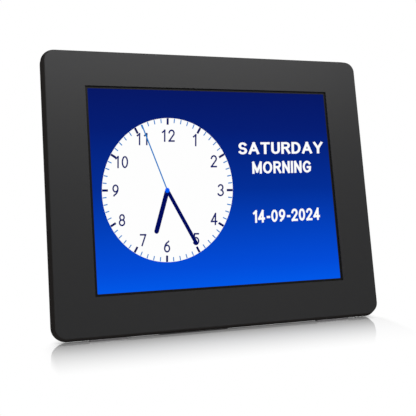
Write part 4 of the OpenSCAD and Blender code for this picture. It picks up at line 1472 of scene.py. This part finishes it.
@dataclass
class Studio:
    """The pale floor, the soft lamps, the white surroundings and the camera.

    The floor mirrors up to a line just behind the clock's front edge, under a haze of plain white.
    The clock's shadow fades across and along, and it narrows and softens towards the rear.
    """

    target: Vector
    floor_size: float = 6.0
    whites: Tuple[Colour, Colour] = ((0.86, 0.86, 0.86), (0.88, 0.88, 0.88))
    clouds_per_m: float = 3.0
    mirror: float = 0.6
    haze: float = 0.19
    tuck: float = 0.007
    tuck_blur: float = 0.0015
    fade: Tuple[float, float] = (0.006, 0.05)
    narrowing: float = 1.0
    softening: float = 0.5
    falling: float = 1.4
    polish: float = 0.05
    daylight: float = 0.3
    lamps: Tuple[Lamp, ...] = (
        Lamp("top_softbox", (0.0, -0.13, 0.29), (0.44, 0.1), 0.95),
        Lamp("rear_softbox", (-0.3, 0.8, 0.6), (0.6, 0.6), 4.0),
    )
    azimuth: float = -18.23
    elevation: float = 5.14
    back_off_mm: Tuple[float, float, float] = (-136.97, -394.32, 24.46)
    lens: float = 58.63

    def build(self) -> None:
        """Makes the surroundings."""
        self.floor()
        self.world()
        for lamp in self.lamps:
            self.hang(lamp)
        self.camera()

    def floor(self) -> Piece:
        """A glossy white floor that shows the clock's shadow and fades to plain white round it.

        Returns:
            The piece.
        """
        deselect()
        bpy.ops.mesh.primitive_plane_add(size=self.floor_size)
        piece = new_piece("studio_floor")
        graph = Graph("floor_white")
        cloud = graph.noise(graph.place(), self.clouds_per_m, 2.0)
        front = self.in_front(graph)
        shader = graph.node("ShaderNodeBsdfPrincipled", {
            "Base Color": graph.mix(cloud, *self.whites),
            "Metallic": front * self.mirror,
            "Roughness": self.polish,
        })
        glow = graph.node("ShaderNodeEmission", {"Color": WHITE, "Strength": 1.0})
        blend = graph.node("ShaderNodeMixShader", {
            0: self.seen(graph) * (1.0 - self.near(graph) * (1.0 - front * self.haze)),
            1: graph.out(shader),
            2: graph.out(glow),
        })
        graph.node("ShaderNodeOutputMaterial", {"Surface": graph.out(blend)})
        dress(piece, graph.material)
        return piece

    def in_front(self, graph: Graph) -> Value:
        """1 on the floor in front of the clock, falling to 0 under its frame."""
        share = (CAD_BOUNDS[0][1] + self.tuck - graph.parts(graph.place())[1]) / self.tuck_blur
        return graph.maths("MINIMUM", graph.positive(share), 1.0)

    def near(self, graph: Graph) -> Value:
        """1 on the floor under the clock, narrower behind, falling to 0 past its reflection.

        Args:
            graph: The floor's node tree.

        Returns:
            The number.
        """
        x, y, _ = graph.parts(graph.place())
        low, high = (Vector(corner) for corner in CAD_BOUNDS)
        inward = graph.positive(y - low.y) * self.narrowing
        past_x = graph.positive(graph.maths("ABSOLUTE", x, 0.0) + inward - high.x)
        middle, half = (low.y + high.y) / 2, (high.y - low.y) / 2
        past_y = graph.positive(graph.maths("ABSOLUTE", y - middle, 0.0) - half)
        across, along = past_x / (inward * self.softening + self.fade[0]), past_y / self.fade[1]
        distance = graph.maths("POWER", across * across + along * along, 0.5)
        return graph.maths("POWER", graph.positive(1.0 - distance), self.falling)

    def seen(self, graph: Graph) -> Value:
        """1 where the camera looks, directly, in a gloss or through glass, else 0.

        Args:
            graph: The node tree.

        Returns:
            The number.
        """
        path = graph.node("ShaderNodeLightPath")
        kinds = ("Camera", "Glossy", "Transmission")
        straight, glossy, through = (graph.out(path, f"Is {kind} Ray") for kind in kinds)
        return graph.maths("MAXIMUM", graph.maths("MAXIMUM", straight, glossy), through)

    def world(self) -> None:
        """Even soft light from all round, with a white backdrop."""
        world = bpy.data.worlds.new("studio")
        bpy.context.scene.world = world
        graph = Graph("backdrop_white", world)
        light = graph.node("ShaderNodeBackground", {"Color": WHITE, "Strength": self.daylight})
        white = graph.node("ShaderNodeBackground", {"Color": WHITE, "Strength": 1.0})
        blend = graph.node("ShaderNodeMixShader", {
            0: self.seen(graph), 1: graph.out(light), 2: graph.out(white),
        })
        graph.node("ShaderNodeOutputWorld", {"Surface": graph.out(blend)})

    def hang(self, lamp: Lamp) -> None:
        """Adds a lamp that faces the clock.

        Args:
            lamp: The lamp.
        """
        data = bpy.data.lights.new(lamp.name, "AREA")
        data.shape = "RECTANGLE"
        data.size, data.size_y = lamp.size
        data.energy = lamp.power
        hung = add(lamp.name, data)
        hung.location = lamp.where
        hung.rotation_euler = (self.target - Vector(lamp.where)).to_track_quat("-Z", "Y").to_euler()

    def camera(self) -> None:
        """The camera at the viewing angle of the photograph."""
        data = bpy.data.cameras.new("camera")
        data.lens = self.lens
        data.sensor_width = 36.0
        data.clip_start = 0.01
        camera = add("camera", data)
        turn, rise = math.radians(self.azimuth), math.radians(self.elevation)
        level = math.cos(rise)
        back = Vector((math.sin(turn) * level, -math.cos(turn) * level, math.sin(rise)))
        camera.location = self.target + Vector(self.back_off_mm) * MM
        camera.rotation_euler = (-back).to_track_quat("-Z", "Y").to_euler()
        bpy.context.scene.camera = camera
        bpy.context.scene.view_settings.view_transform = "Standard"


def main() -> None:
    """Builds the clock's looks and the studio, in order."""
    logging.basicConfig(level=logging.INFO, format="%(message)s")
    lean = case_lean()
    plane = glass_plane(lean)
    Studio(plane.middle.copy()).build()
    Screen(lean).build()
    for group in (Picture(plane), Case(plane), Stand(), Buttons(back_plane(lean)), Electronics(lean)):
        for piece in group.build():
            log.info("%s: %s, %d faces", type(group).__name__, piece.name, len(piece.data.polygons))


if __name__ == "__main__":
    main()
